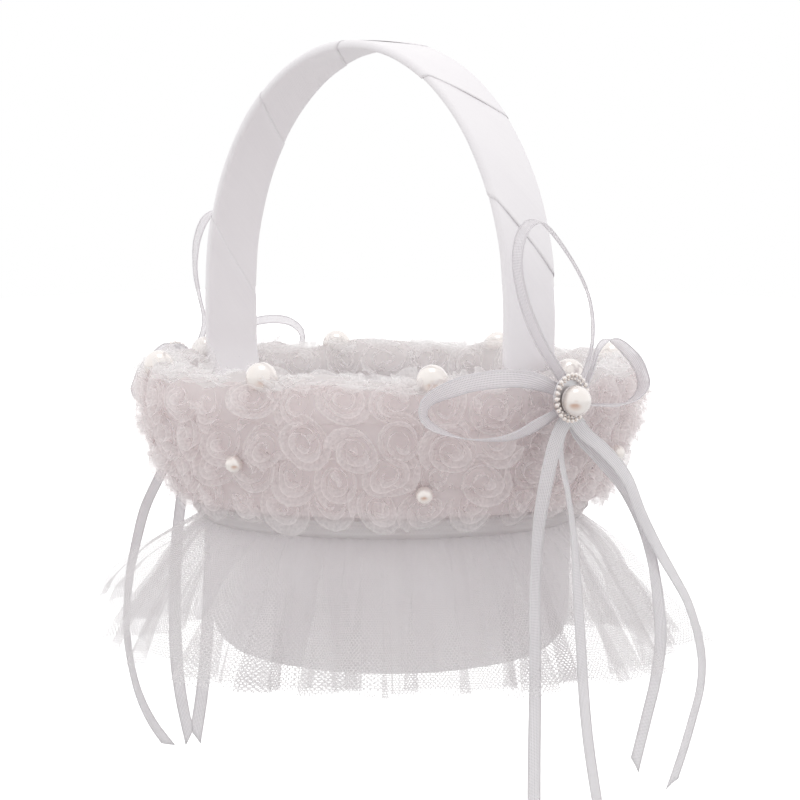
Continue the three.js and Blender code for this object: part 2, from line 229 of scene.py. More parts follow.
def wavesAlong(tree, socket, period):
    # threads side by side: 0 between them, 1 on top
    turned = addNode(tree, "ShaderNodeMath", {0: socket, 1: 2 * math.pi / period},
                     operation="MULTIPLY")
    wave = addNode(tree, "ShaderNodeMath", {0: turned.outputs[0]}, operation="SINE")
    return addNode(tree, "ShaderNodeMath", {0: wave.outputs[0], 1: 0.5, 2: 0.5},
                   operation="MULTIPLY_ADD").outputs[0]


def satinWeave(name, light, shade, roughness):
    # Polyester satin ribbon and lining cloth: long floats give it a soft even gloss with
    # faint streaks along the thread. Real floats are 0.1 mm apart; they are drawn 0.7 mm
    # apart, so that they show.
    material, tree = startMaterial(name)
    place = addNode(tree, "ShaderNodeUVMap", uv_map="cloth").outputs[0]
    split = addNode(tree, "ShaderNodeSeparateXYZ", {0: place})
    floats = wavesAlong(tree, split.outputs[0], 0.7)
    stretched = addNode(tree, "ShaderNodeVectorMath", {0: place, 1: (1.4, 0.06, 1)},
                        operation="MULTIPLY")
    streak = addNode(tree, "ShaderNodeTexNoise", {"Vector": stretched.outputs[0], "Scale": 1,
                                                  "Detail": 3})
    cloud = addNode(tree, "ShaderNodeTexNoise", {"Vector": place, "Scale": 0.045, "Detail": 2})
    tone = addNode(tree, "ShaderNodeMath", {0: streak.outputs[0], 1: cloud.outputs[0]},
                   operation="MULTIPLY")
    tint = addNode(tree, "ShaderNodeMix", {0: tone.outputs[0], 6: colour(light),
                                           7: colour(shade)}, data_type="RGBA")
    gloss = addNode(tree, "ShaderNodeMapRange", {0: streak.outputs[0], 3: roughness - 0.07,
                                                 4: roughness + 0.1})
    relief = addNode(tree, "ShaderNodeMath", {0: floats, 1: 0.22, 2: streak.outputs[0]},
                     operation="MULTIPLY_ADD")
    bump = addNode(tree, "ShaderNodeBump", {"Strength": 0.16, "Distance": 0.0003,
                                            "Height": relief.outputs[0]})
    surface = addNode(tree, "ShaderNodeBsdfPrincipled", {
        "Base Color": tint.outputs[2], "Roughness": gloss.outputs[0], "IOR": 1.5,
        "Sheen Weight": 0.25, "Sheen Roughness": 0.4, "Normal": bump.outputs[0]})
    addNode(tree, "ShaderNodeOutputMaterial", {0: surface.outputs[0]})
    return material


def chiffonCrepe(name, sheer, deepTone, paleTone):
    # Polyester chiffon, cut with raw edges and rolled: matt and filmy, so the petals
    # behind show through; each cut edge is a little more solid and, with painted light, paler, so it
    # reads as a fine pale line. Crinkle of about 1 mm.
    material, tree = startMaterial(name)
    place = addNode(tree, "ShaderNodeTexCoord").outputs["Object"]
    rise = addNode(tree, "ShaderNodeAttribute", attribute_name="rise").outputs["Fac"]
    crinkle = addNode(tree, "ShaderNodeTexNoise", {"Vector": place, "Scale": 900, "Detail": 4})
    blotch = addNode(tree, "ShaderNodeTexNoise", {"Vector": place, "Scale": 60, "Detail": 2})
    deep = addNode(tree, "ShaderNodeMix", {0: blotch.outputs[0], 6: colour(deepTone),
                                           7: colour(paleTone)}, data_type="RGBA")
    # the colour runs from the deeper tone at the foot of each petal to the pale tone at its top:
    # painted shade down in the rose, painted light at the edges
    tint = addNode(tree, "ShaderNodeMix", {0: rise, 6: deep.outputs[2],
                                           7: colour(paleTone)}, data_type="RGBA")
    bump = addNode(tree, "ShaderNodeBump", {"Strength": 0.35, "Distance": 0.0005,
                                            "Height": crinkle.outputs[0]})
    cloth = addNode(tree, "ShaderNodeBsdfPrincipled", {
        "Base Color": tint.outputs[2], "Roughness": 0.88, "Sheen Weight": 0.3,
        "Sheen Roughness": 0.5, "Normal": bump.outputs[0]})
    through = addNode(tree, "ShaderNodeBsdfTranslucent", {0: tint.outputs[2]})
    both = addNode(tree, "ShaderNodeMixShader", {0: 0.5, 1: cloth.outputs[0],
                                                 2: through.outputs[0]})
    if sheer:
        thin = addNode(tree, "ShaderNodeMapRange", {0: crinkle.outputs[0], 1: 0.3, 2: 0.7,
                                                    3: sheer - 0.07, 4: sheer + 0.07})
        edge = addNode(tree, "ShaderNodeMapRange", {0: rise, 1: 0.7, 2: 0.98, 4: 0.12})
        cover = addNode(tree, "ShaderNodeMath", {0: thin.outputs[0], 1: edge.outputs[0]},
                        operation="ADD")
        hole = addNode(tree, "ShaderNodeBsdfTransparent")
        both = addNode(tree, "ShaderNodeMixShader", {0: cover.outputs[0], 1: hole.outputs[0],
                                                     2: both.outputs[0]})
    addNode(tree, "ShaderNodeOutputMaterial", {0: both.outputs[0]})
    return material


def hexagons(tree, cell, thread, stretch):
    # net of hexagons: 1 on the threads, 0 in the holes
    place = addNode(tree, "ShaderNodeUVMap", uv_map="cloth").outputs[0]
    spaced = addNode(tree, "ShaderNodeVectorMath",
                     {0: place, 1: (1 / cell, 1 / (cell * stretch), 0)}, operation="MULTIPLY")
    repeat, half = (1, 3 ** 0.5, 1), (0.5, 3 ** 0.5 / 2, 0)
    nearest = []
    for start in ((0, 0, 0), half):
        moved = addNode(tree, "ShaderNodeVectorMath", {0: spaced.outputs[0], 1: start})
        folded = addNode(tree, "ShaderNodeVectorMath", {0: moved.outputs[0], 1: repeat},
                         operation="MODULO")
        centred = addNode(tree, "ShaderNodeVectorMath", {0: folded.outputs[0], 1: half},
                          operation="SUBTRACT")
        away = addNode(tree, "ShaderNodeVectorMath", {0: centred.outputs[0]},
                       operation="LENGTH")
        nearest.append((centred.outputs[0], away.outputs["Value"]))
    closer = addNode(tree, "ShaderNodeMath", {0: nearest[0][1], 1: nearest[1][1]},
                     operation="LESS_THAN")
    local = addNode(tree, "ShaderNodeMix", {0: closer.outputs[0], 4: nearest[1][0],
                                            5: nearest[0][0]}, data_type="VECTOR")
    mirrored = addNode(tree, "ShaderNodeVectorMath", {0: local.outputs[1]},
                       operation="ABSOLUTE")
    slant = addNode(tree, "ShaderNodeVectorMath", {0: mirrored.outputs[0], 1: half},
                    operation="DOT_PRODUCT")
    flat = addNode(tree, "ShaderNodeSeparateXYZ", {0: mirrored.outputs[0]})
    toEdge = addNode(tree, "ShaderNodeMath", {0: slant.outputs["Value"], 1: flat.outputs[0]},
                     operation="MAXIMUM")
    edge = 0.5 - thread / cell / 2
    return addNode(tree, "ShaderNodeMapRange", {0: toEdge.outputs[0], 1: edge - 0.03,
                                                2: edge + 0.03}).outputs[0]


def nylonNet(name, cell, thread, haze, deepTone, paleTone):
    # Nylon tulle, knitted in hexagons: mostly holes, so one layer is a light haze and
    # gathered layers turn milky. Holes are about 1 mm, as on soft bridal net.
    material, tree = startMaterial(name)
    threads = hexagons(tree, cell, thread, 0.9)
    place = addNode(tree, "ShaderNodeUVMap", uv_map="cloth").outputs[0]
    cloud = addNode(tree, "ShaderNodeTexNoise", {"Vector": place, "Scale": 0.05, "Detail": 2})
    tint = addNode(tree, "ShaderNodeMix", {0: cloud.outputs[0], 6: colour(deepTone),
                                           7: colour(paleTone)}, data_type="RGBA")
    bump = addNode(tree, "ShaderNodeBump", {"Strength": 0.3, "Distance": 0.0002,
                                            "Height": threads})
    thread = addNode(tree, "ShaderNodeBsdfPrincipled", {
        "Base Color": tint.outputs[2], "Roughness": 0.6, "Sheen Weight": 0.2,
        "Normal": bump.outputs[0]})
    through = addNode(tree, "ShaderNodeBsdfTranslucent", {0: tint.outputs[2]})
    solid = addNode(tree, "ShaderNodeMixShader", {0: 0.4, 1: thread.outputs[0],
                                                  2: through.outputs[0]})
    hole = addNode(tree, "ShaderNodeBsdfTransparent")
    cover = addNode(tree, "ShaderNodeMapRange", {0: threads, 3: haze, 4: 0.94})
    net = addNode(tree, "ShaderNodeMixShader", {0: cover.outputs[0], 1: hole.outputs[0],
                                                2: solid.outputs[0]})
    addNode(tree, "ShaderNodeOutputMaterial", {0: net.outputs[0]})
    return material


def organza(name, between, onRib, deepTone, paleTone):
    # Organza ribbon: crisp sheer weave with lengthwise ribs and a bright satin edge.
    # Ribs are 0.75 mm apart; the cross threads are drawn 0.5 mm apart, so that they show.
    material, tree = startMaterial(name)
    place = addNode(tree, "ShaderNodeUVMap", uv_map="cloth").outputs[0]
    split = addNode(tree, "ShaderNodeSeparateXYZ", {0: place})
    ribs = wavesAlong(tree, split.outputs[0], 0.75)
    picks = wavesAlong(tree, split.outputs[1], 0.5)
    fromMiddle = addNode(tree, "ShaderNodeMath", {0: split.outputs[0], 1: 3.0},
                         operation="SUBTRACT")
    aside = addNode(tree, "ShaderNodeMath", {0: fromMiddle.outputs[0]}, operation="ABSOLUTE")
    edge = addNode(tree, "ShaderNodeMapRange", {0: aside.outputs[0], 1: 2.35, 2: 2.55})
    grain = addNode(tree, "ShaderNodeTexNoise", {"Vector": place, "Scale": 0.3, "Detail": 3})
    weave = addNode(tree, "ShaderNodeMath", {0: ribs, 1: picks}, operation="MAXIMUM")
    body = addNode(tree, "ShaderNodeMapRange", {0: weave.outputs[0], 3: between, 4: onRib})
    cover = addNode(tree, "ShaderNodeMath", {0: body.outputs[0], 1: edge.outputs[0]},
                    operation="MAXIMUM")
    tint = addNode(tree, "ShaderNodeMix", {0: grain.outputs[0], 6: colour(deepTone),
                                           7: colour(paleTone)}, data_type="RGBA")
    relief = addNode(tree, "ShaderNodeMath", {0: ribs, 1: edge.outputs[0]}, operation="ADD")
    bump = addNode(tree, "ShaderNodeBump", {"Strength": 0.5, "Distance": 0.0002,
                                            "Height": relief.outputs[0]})
    thread = addNode(tree, "ShaderNodeBsdfPrincipled", {
        "Base Color": tint.outputs[2], "Roughness": 0.38, "Sheen Weight": 0.3,
        "Normal": bump.outputs[0]})
    through = addNode(tree, "ShaderNodeBsdfTranslucent", {0: tint.outputs[2]})
    cloth = addNode(tree, "ShaderNodeMixShader", {0: 0.25, 1: thread.outputs[0],
                                                  2: through.outputs[0]})
    hole = addNode(tree, "ShaderNodeBsdfTransparent")
    ribbon = addNode(tree, "ShaderNodeMixShader", {0: cover.outputs[0], 1: hole.outputs[0],
                                                   2: cloth.outputs[0]})
    addNode(tree, "ShaderNodeOutputMaterial", {0: ribbon.outputs[0]})
    return material


def acrylicPearl():
    # Acrylic pearl with a nacre lacquer: a clear bright coat over a cream body, with
    # clouds of colour a few millimetres wide.
    material, tree = startMaterial("acrylicPearl")
    place = addNode(tree, "ShaderNodeTexCoord").outputs["Object"]
    cloud = addNode(tree, "ShaderNodeTexNoise", {"Vector": place, "Scale": 260, "Detail": 2})
    tint = addNode(tree, "ShaderNodeMix", {0: cloud.outputs[0], 6: colour("#f4ebe5"),
                                           7: colour("#faf6f4")}, data_type="RGBA")
    grain = addNode(tree, "ShaderNodeTexNoise", {"Vector": place, "Scale": 2400, "Detail": 1})
    bump = addNode(tree, "ShaderNodeBump", {"Strength": 0.05, "Distance": 0.0001,
                                            "Height": grain.outputs[0]})
    surface = addNode(tree, "ShaderNodeBsdfPrincipled", {
        "Base Color": tint.outputs[2], "Roughness": 0.17, "IOR": 1.53, "Metallic": 0.6,
        "Coat Weight": 0.6, "Coat Roughness": 0.05, "Normal": bump.outputs[0]})
    addNode(tree, "ShaderNodeOutputMaterial", {0: surface.outputs[0]})
    return material


def pressedBoard():
    # Grey-white pressed board: matt, with paper fibres about 1 mm long.
    material, tree = startMaterial("pressedBoard")
    place = addNode(tree, "ShaderNodeTexCoord").outputs["Object"]
    fibres = addNode(tree, "ShaderNodeTexNoise", {"Vector": place, "Scale": 900, "Detail": 5})
    specks = addNode(tree, "ShaderNodeTexVoronoi", {"Vector": place, "Scale": 420})
    mixed = addNode(tree, "ShaderNodeMath", {0: fibres.outputs[0], 1: specks.outputs[0]},
                    operation="MULTIPLY")
    tint = addNode(tree, "ShaderNodeMix", {0: mixed.outputs[0], 6: colour("#e9e5dd"),
                                           7: colour("#d9d3c7")}, data_type="RGBA")
    bump = addNode(tree, "ShaderNodeBump", {"Strength": 0.3, "Distance": 0.0003,
                                            "Height": fibres.outputs[0]})
    surface = addNode(tree, "ShaderNodeBsdfPrincipled", {
        "Base Color": tint.outputs[2], "Roughness": 0.85, "Normal": bump.outputs[0]})
    addNode(tree, "ShaderNodeOutputMaterial", {0: surface.outputs[0]})
    return material


def zincSteel():
    # Zinc plated steel, pressed and drawn: grey with fine draw marks.
    material, tree = startMaterial("zincSteel")
    place = addNode(tree, "ShaderNodeTexCoord").outputs["Object"]
    drawn = addNode(tree, "ShaderNodeMapping", {"Vector": place, "Scale": (400, 400, 6000)})
    marks = addNode(tree, "ShaderNodeTexNoise", {"Vector": drawn.outputs[0], "Scale": 1,
                                                 "Detail": 2})
    tint = addNode(tree, "ShaderNodeMix", {0: marks.outputs[0], 6: colour("#cdcbce"),
                                           7: colour("#e4e2e4")}, data_type="RGBA")
    gloss = addNode(tree, "ShaderNodeMapRange", {0: marks.outputs[0], 3: 0.24, 4: 0.42})
    bump = addNode(tree, "ShaderNodeBump", {"Strength": 0.1, "Distance": 0.0001,
                                            "Height": marks.outputs[0]})
    surface = addNode(tree, "ShaderNodeBsdfPrincipled", {
        "Base Color": tint.outputs[2], "Metallic": 1, "Roughness": gloss.outputs[0],
        "Normal": bump.outputs[0]})
    addNode(tree, "ShaderNodeOutputMaterial", {0: surface.outputs[0]})
    return material


handleSatin = satinWeave("polyesterSatinRibbon", "#f6f3f5", "#ece8ec", 0.46)
coverSatin = satinWeave("polyesterSatinLining", "#f3eff1", "#e9e4e6", 0.5)
# the rows' chiffon and pad are a pinker copy, and the rim's chiffon and pad a whiter copy, of one
# cloth: painted warm shade on the rows and the rim's outer face, painted light on the rim's top and
# inside
chiffon = chiffonCrepe("polyesterChiffonPetal", 0.34, "#f8f1f1", "#fcf8f8")
chiffonPad = chiffonCrepe("polyesterChiffonPad", 0, "#f8efef", "#fbf5f5")
rimChiffonLitCopy = chiffonCrepe("polyesterChiffonRimPetal", 0.4, "#faf7f7", "#fefdfd")
rimPadLitCopy = chiffonCrepe("polyesterChiffonRimPad", 0, "#fbf8f8", "#fdfbfb")
skirtNet = nylonNet("nylonTulle", 1.05, 0.19, 0.07, "#ece8e9", "#f5f3f4")
bandNet = nylonNet("nylonTulleFolded", 1.2, 0.5, 0.9, "#efe8e9", "#f8f7f7")
ribbonCloth = organza("organzaRibbon", 0.45, 0.9, "#f1eef0", "#f9f7f9")
sheerRibbon = organza("organzaRibbonOpenWeave", 0.3, 0.72, "#ece8ec", "#f6f3f5")
pearlCoat = acrylicPearl()
board = pressedBoard()
steel = zincSteel()
print("finishes ready")

# ---- ribbon tails: seven free ends that hang from the two knots ----
ribbon = {"width": 6.0, "thickness": 0.25, "step": 2.5, "across": 6, "curl": 0.5,
          "endSlant": 2.4}
tailRoutes = {
    "near_bow_tail_1": [
        [95.6, -12, 92.2], [95.6, -16, 88], [95.4, -18.6, 83], [94, -20.2, 74],
        [91.4, -21.4, 58], [90.6, -22, 45], [91.8, -24, 32], [93.2, -25.2, 19],
        [93.9, -25.8, -1], [93.4, -25.4, -21], [92.8, -24.7, -42]],
    "near_bow_tail_2": [
        [94.2, -10.5, 92.2], [93.6, -13.6, 84], [93.8, -13, 76], [94.6, -11.2, 67.5],
        [96.6, -9.8, 51], [97.8, -9.8, 39], [99, -9.9, 27.5], [100.2, -10, 16],
        [100.8, -9.6, 4], [101.4, -7.6, -16], [102.9, -3.4, -43]],
    "near_bow_tail_3": [
        [93.2, -7.3, 92.2], [93.4, -2, 86.4], [96, 6, 79.6], [98, 15, 70], [98.6, 22.8, 56],
        [98, 32, 44], [97, 42, 33], [95.8, 50.5, 23.5], [94, 57.4, 14], [92.8, 61.8, 5],
        [92, 63.8, -2], [91, 63.9, -11], [89.8, 61.4, -21], [88.7, 57.8, -32],
        [87.4, 53.4, -43.5]],
    "near_bow_tail_4": [
        [92, -6.3, 92.2], [91.6, -1.6, 85.4], [92.8, 7.6, 76.5], [94.8, 16.8, 66.7],
        [95.4, 25.4, 54], [95.6, 31.4, 40], [96, 34.4, 26], [95.8, 36.2, 11],
        [94.4, 35.4, -3], [92.6, 33, -16], [90.4, 29.6, -32.5]],
    "far_bow_tail_1": [
        [-95.6, -10.5, 92.2], [-97.6, -12.5, 80], [-100.4, -16.4, 66], [-103, -21.4, 55],
        [-104.4, -26.8, 44.5], [-103.8, -31.6, 33], [-102.6, -36, 21.5], [-101.2, -38.8, 11],
        [-99.9, -40.4, 0], [-98, -40, -13], [-95.9, -37.8, -25], [-93.2, -33.8, -35.5],
        [-89.8, -29, -44]],
    "far_bow_tail_2": [
        [-94.4, -9.5, 92.2], [-96, -9.6, 80], [-99.6, -9.8, 64], [-103.4, -10, 47],
        [-106, -10.2, 30], [-107.6, -10, 13], [-108.2, -9.5, -4], [-108, -8.8, -19],
        [-106.6, -7.6, -33], [-104, -6, -47]],
    "far_bow_tail_3": [
        [-93.2, -7.3, 92.2], [-94.4, -4.6, 78], [-96.6, -1.6, 62], [-99, 1, 46],
        [-101.4, 3, 30], [-104, 4.6, 13], [-106, 5.4, -4], [-107, 5, -18], [-107, 3, -32],
        [-106.4, -1, -48]],
}

# how far each tail is turned about its own line from top to end, in degrees
tailTurns = {
    "near_bow_tail_1": [-10, -2, -4, -16, -24, -22, -20, -17, -14, -13, -12],
    "near_bow_tail_2": [-20, -36, -34, -30, -20, -16, -14, -12, -12, -12, -12],
    "near_bow_tail_3": [0, 2, 4, 5, 6, 7, 13, 21, 25, 26, 24],
    "near_bow_tail_4": [0, 3, 6, 8, 8, 12, 20, 23, 22, 20, 19],
    "far_bow_tail_1": [0, 6, 4, -4, -6, 2],
    "far_bow_tail_2": [0, -5, 4, 8, -4],
    "far_bow_tail_3": [0, 6, -4, 0, 6],
}


def ribbonMesh(name, route, widthAt, turnAt, slant=0, phase=0):
    line, along = smoothRoute(route, ribbon["step"])
    tangent = unit(np.gradient(line, axis=0))
    wide = widthAt(line)
    wide = unit(wide - tangent * np.sum(wide * tangent, axis=1, keepdims=True))
    flat = np.cross(tangent, wide)
    share = along / along[-1]
    turn = np.radians(turnAt(share))
    wide, flat = (wide * np.cos(turn)[:, None] + flat * np.sin(turn)[:, None],
                  flat * np.cos(turn)[:, None] - wide * np.sin(turn)[:, None])
    across = np.linspace(-1, 1, ribbon["across"] + 1)
    offset = across * ribbon["width"] / 2
    cup = ribbon["curl"] * (across ** 2 - 0.4) * 0.6
    sway = np.sin(share * 5 + phase)[:, None] * cup[None]
    cut = slant * np.clip((share - 0.9) / 0.1, 0, 1)[:, None] * across[None]
    points = (line[:, None] + wide[:, None] * offset[None, :, None]
              + flat[:, None] * sway[..., None] + tangent[:, None] * cut[..., None])
    uvs = np.stack([offset[None] + 3 + 0 * sway, along[:, None] + cut + 4], axis=-1)
    return gridMesh(name, points, uvs, mend=False), line, along[-1]


def thicken(piece, thickness, offset=0.0):
    shell = piece.modifiers.new("thickness", "SOLIDIFY")
    shell.thickness, shell.offset = thickness / 1000, offset
    return piece


def roundTheCup(line):
    return np.stack([-line[:, 1], line[:, 0], 0 * line[:, 0]], axis=1)


for order, (name, route) in enumerate(tailRoutes.items()):
    slant = ribbon["endSlant"] * (1 if order % 2 else -1)
    turns = tailTurns[name]
    mesh, line, length = ribbonMesh(name, route, roundTheCup, lambda share: np.interp(
        share, np.linspace(0, 1, len(turns)), turns), slant, order * 1.7)
    tail = addPiece("ribbonTail" + str(order + 1), mesh, [name], ribbonCloth)
    thicken(tail, ribbon["thickness"])
    print("  tail", name, round(length, 1), "mm")
print("ribbon tails ready")

# ---- the cup: satin cover, base disc, lining and floor card ----
cup = {"corner": 14, "cornerHeight": 16.2, "straightRadius": 63, "waist": 50, "waistRadius": 64,
       "rim": 97, "rimRadius": 81, "coverOut": 0.9, "coverIn": 0.35, "liningOut": -2.35,
       "liningIn": -2.9, "tuck": 38, "discRadius": 46, "discHeight": 1.0,
       "cardRadius": 47, "pleats": 46, "pleatDepth": 0.9}


def wallRadius(z):
    flare = np.clip((z - cup["waist"]) / (cup["rim"] - cup["waist"]), 0, None)
    return cup["waistRadius"] + (cup["rimRadius"] - cup["waistRadius"]) * flare


def wallLine(offset, top, cornerSteps=9, wallSteps=16):
    inner = cup["straightRadius"] - cup["corner"]
    bend = np.linspace(-np.pi / 2, 0, cornerSteps + 1)
    reach = cup["corner"] + offset
    line = [[inner + reach * math.cos(a), cup["cornerHeight"] + reach * math.sin(a)] for a in bend]
    for z in np.linspace(cup["cornerHeight"], cup["waist"], 7)[1:]:
        share = (z - cup["cornerHeight"]) / (cup["waist"] - cup["cornerHeight"])
        line.append([cup["straightRadius"] + share + offset, z])
    for z in np.linspace(cup["waist"], top, wallSteps + 1)[1:]:
        line.append([float(wallRadius(z)) + offset, z])
    return line


def coverCreases(angle, height, radius):
    # the satin is pulled round the corner, so it creases a little below the wall
    low = np.exp(-((height - 8) / 9) ** 2)
    return 0.22 * low * np.sin(41 * angle + 2 * np.sin(5 * angle)) \
        + 0.12 * np.sin(3 * angle + 1) * np.exp(-((height - 30) / 18) ** 2)


def liningPleats(angle, height, radius):
    # only the inside face is pleated, and the pleats grow towards the floor of the cup
    inside = np.clip((wallRadius(height) - 2.6 - radius) / 0.3, 0, 1) * (radius > 46)
    fold = 0.5 + 0.5 * np.sin(cup["pleats"] * angle + 1.5 * np.sin(7 * angle))
    return -cup["pleatDepth"] * fold ** 2 * inside * np.clip(1.25 - height / 100, 0.25, 1)


outside = wallLine(cup["coverOut"], cup["rim"])
inside = wallLine(cup["coverIn"], cup["rim"])[::-1]
cover = spunMesh("outerCover", [[cup["tuck"], outside[0][1]]] + outside + inside
                 + [[cup["tuck"], inside[-1][1]], [cup["tuck"], outside[0][1]]], 192, coverCreases)
addPiece("outerCover", cover, ["outer_cover"], coverSatin)

outside = wallLine(cup["liningOut"], cup["rim"])
inside = wallLine(cup["liningIn"], cup["rim"])[::-1]
lining = spunMesh("innerLining", [[0, outside[0][1]]] + outside + inside + [[0, inside[-1][1]]],
                  368, liningPleats)
addPiece("innerLining", lining, ["inner_lining"], coverSatin)


def softDisc(radius, low, high, edge):
    # a disc whose edge is rounded
    bend = np.linspace(-np.pi / 2, np.pi / 2, 9)
    middle, half = (low + high) / 2, (high - low) / 2
    rim = [[radius - edge + edge * math.cos(a), middle + half * math.sin(a)] for a in bend]
    rings = [radius * share for share in (0.3, 0.6, 0.85)]
    return [[0, low]] + [[r, low] for r in rings] + rim + [[r, high] for r in rings[::-1]] \
        + [[0, high]]


disc = spunMesh("baseDisc", softDisc(cup["discRadius"], 0, cup["discHeight"], 0.5), 128)
addPiece("baseDisc", disc, ["base_disc"], coverSatin)
cardLow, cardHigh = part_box("floor_card")
card = spunMesh("floorCard", softDisc(cup["cardRadius"], (cardLow[2] - cupFoot[2]) * 1000,
                                      (cardHigh[2] - cupFoot[2]) * 1000, 0.3), 96)
addPiece("floorCard", card, ["floor_card"], board)
for name in ("basket_shell", "handle_core"):
    kept = frame["nodes"][name]
    kept.data.materials.clear()
    kept.data.materials.append(board)
print("cup ready")

# ---- handle: satin ribbon wound round a springy strip ----
handle = {"width": 23.5, "halfThickness": 1.14, "corner": 0.9, "shift": -9, "archRise": 88.7,
          "archCentre": 127.5, "halfSpan": 75.2, "ribbonWidth": 63.0,
          "lapLift": 0.34, "laps": [-55, 8, 65.5, 123, 168, 212.5, 257.3, 318, 375],
          "cloth": 0.14, "acrossRibbon": 34, "around": 76}


def handleLine():
    foot = [[64, 73], [69.1, 87], [73, 97.7], [74.9, 106], [handle["halfSpan"], 116]]
    arch = [[handle["halfSpan"] * math.cos(a), handle["archCentre"]
             + handle["archRise"] * math.sin(a)] for a in np.linspace(0, math.pi, 15)]
    far = [[-x, z] for x, z in foot[::-1]]
    return smoothRoute([[x, handle["shift"], z] for x, z in foot + arch + far], 0.5)


def stripSection(steps):
    # round the strip once: up the outer face from +Y to -Y, then back along the inner face
    half, thick, corner = handle["width"] / 2, handle["halfThickness"], handle["corner"]
    line = []
    for side, begin in ((1, 0), (-1, 90), (-1, 180), (1, 270)):
        up = 1 if begin < 180 else -1
        for a in np.radians(np.linspace(begin, begin + 90, 7)):
            line.append([side * (half - corner) + corner * math.cos(a),
                         up * (thick - corner) + corner * math.sin(a)])
    line = np.array(line + [line[0]])
    along = np.concatenate([[0], np.cumsum(np.linalg.norm(np.diff(line, axis=0), axis=1))])
    places = np.linspace(0, along[-1], steps + 1)
    section = np.stack([np.interp(places, along, line[:, i]) for i in range(2)], axis=1)
    slope = unit(np.gradient(section, axis=0))
    return section, np.stack([slope[:, 1], -slope[:, 0]], axis=1), along[-1]


def wrappedHandle():
    line, along = handleLine()
    tangent = unit(np.gradient(line, axis=0))
    section, facing, girth = stripSection(handle["around"])
    width, laps = handle["ribbonWidth"], handle["laps"]
    wind = np.arange(0, (len(laps) - 1) * handle["around"] + 1)
    across = np.linspace(0, width, handle["acrossRibbon"] + 1)
    lapStart = np.interp(wind / handle["around"], np.arange(len(laps)), laps)
    place = lapStart[:, None] + across[None]
    inside = np.clip(place, 0, along[-1])
    centre = np.stack([np.interp(inside, along, line[:, i]) for i in range(3)], axis=-1)
    forward = np.stack([np.interp(inside, along, tangent[:, i]) for i in range(3)], axis=-1)
    outward = unit(np.cross(np.array([0, 1, 0]), forward))
    lift = 0.04 + handle["lapLift"] * (1 - across[None] / width)
    here = wind % handle["around"]
    side = section[here, 0][:, None] + facing[here, 0][:, None] * lift
    height = section[here, 1][:, None] + facing[here, 1][:, None] * lift
    # the cloth is a touch slack between its laps
    slack = 0.05 * np.sin(place * 0.23 + wind[:, None] * 0.11)
    points = centre + outward * (height + slack * np.sign(height))[..., None]
    points[..., 1] += side
    uvs = np.stack([across[None] + 0 * place, wind[:, None] * girth / handle["around"]
                    + 0 * place + 200], axis=-1)
    shown = (place[:-1, :-1] < along[-1]) & (place[1:, 1:] > 0)
    mesh = gridMesh("handleWrap", points, uvs, mend=False)
    shape = bmesh.new()
    shape.from_mesh(mesh)
    shape.faces.ensure_lookup_table()
    spare = [shape.faces[i] for i in np.flatnonzero(~shown.ravel())]
    bmesh.ops.delete(shape, geom=spare, context="FACES")
    bmesh.ops.dissolve_degenerate(shape, edges=shape.edges, dist=0.001)
    shape.to_mesh(mesh)
    shape.free()
    return mesh


wrap = addPiece("handleWrap", wrappedHandle(), ["handle_wrap"], handleSatin)
thicken(wrap, handle["cloth"], 1.0)
print("handle ready")


# ---- geometry trees that grow what repeats ----
def startTree(name, sockets):
    tree = bpy.data.node_groups.new(name, "GeometryNodeTree")
    tree.interface.new_socket("Geometry", in_out="INPUT", socket_type="NodeSocketGeometry")
    for title, kind in sockets.items():
        tree.interface.new_socket(title, in_out="INPUT", socket_type="NodeSocket" + kind)
    tree.interface.new_socket("Geometry", in_out="OUTPUT", socket_type="NodeSocketGeometry")
    return tree, addNode(tree, "NodeGroupInput").outputs


def endTree(tree, instances, material):
    real = addNode(tree, "GeometryNodeRealizeInstances", {0: instances})
    finished = addNode(tree, "GeometryNodeSetMaterial", {"Geometry": real.outputs[0],
                                                         "Material": material})
    addNode(tree, "NodeGroupOutput", {0: finished.outputs[0]})


def runTree(tree, mesh, values):
    carrier = bpy.data.objects.new("carrier", mesh or bpy.data.meshes.new("empty"))
    bpy.context.scene.collection.objects.link(carrier)
    modifier = carrier.modifiers.new("grow", "NODES")
    modifier.node_group = tree
    for item in tree.interface.items_tree:
        if item.in_out == "INPUT" and item.name in values:
            modifier[item.identifier] = values[item.name]
    bpy.context.view_layer.update()
    evaluated = carrier.evaluated_get(bpy.context.evaluated_depsgraph_get())
    grown = bpy.data.meshes.new_from_object(evaluated)
    carrier.modifiers.remove(modifier)
    bpy.data.objects.remove(carrier)
    return grown


def spunRotation(tree, axis, seed):
    # stands an instance's Z along the axis, then spins it by chance
    stood = addNode(tree, "FunctionNodeAlignRotationToVector", {"Vector": axis}, axis="Z")
    chance = addNode(tree, "FunctionNodeRandomValue", {2: 0.0, 3: 2 * math.pi, "Seed": seed},
                     data_type="FLOAT")
    spin = addNode(tree, "FunctionNodeAxisAngleToRotation", {"Axis": (0, 0, 1),
                                                             "Angle": chance.outputs[1]})
    return addNode(tree, "FunctionNodeRotateRotation", {
        "Rotation": stood.outputs[0], "Rotate By": spin.outputs[0]},
        rotation_space="LOCAL").outputs[0]


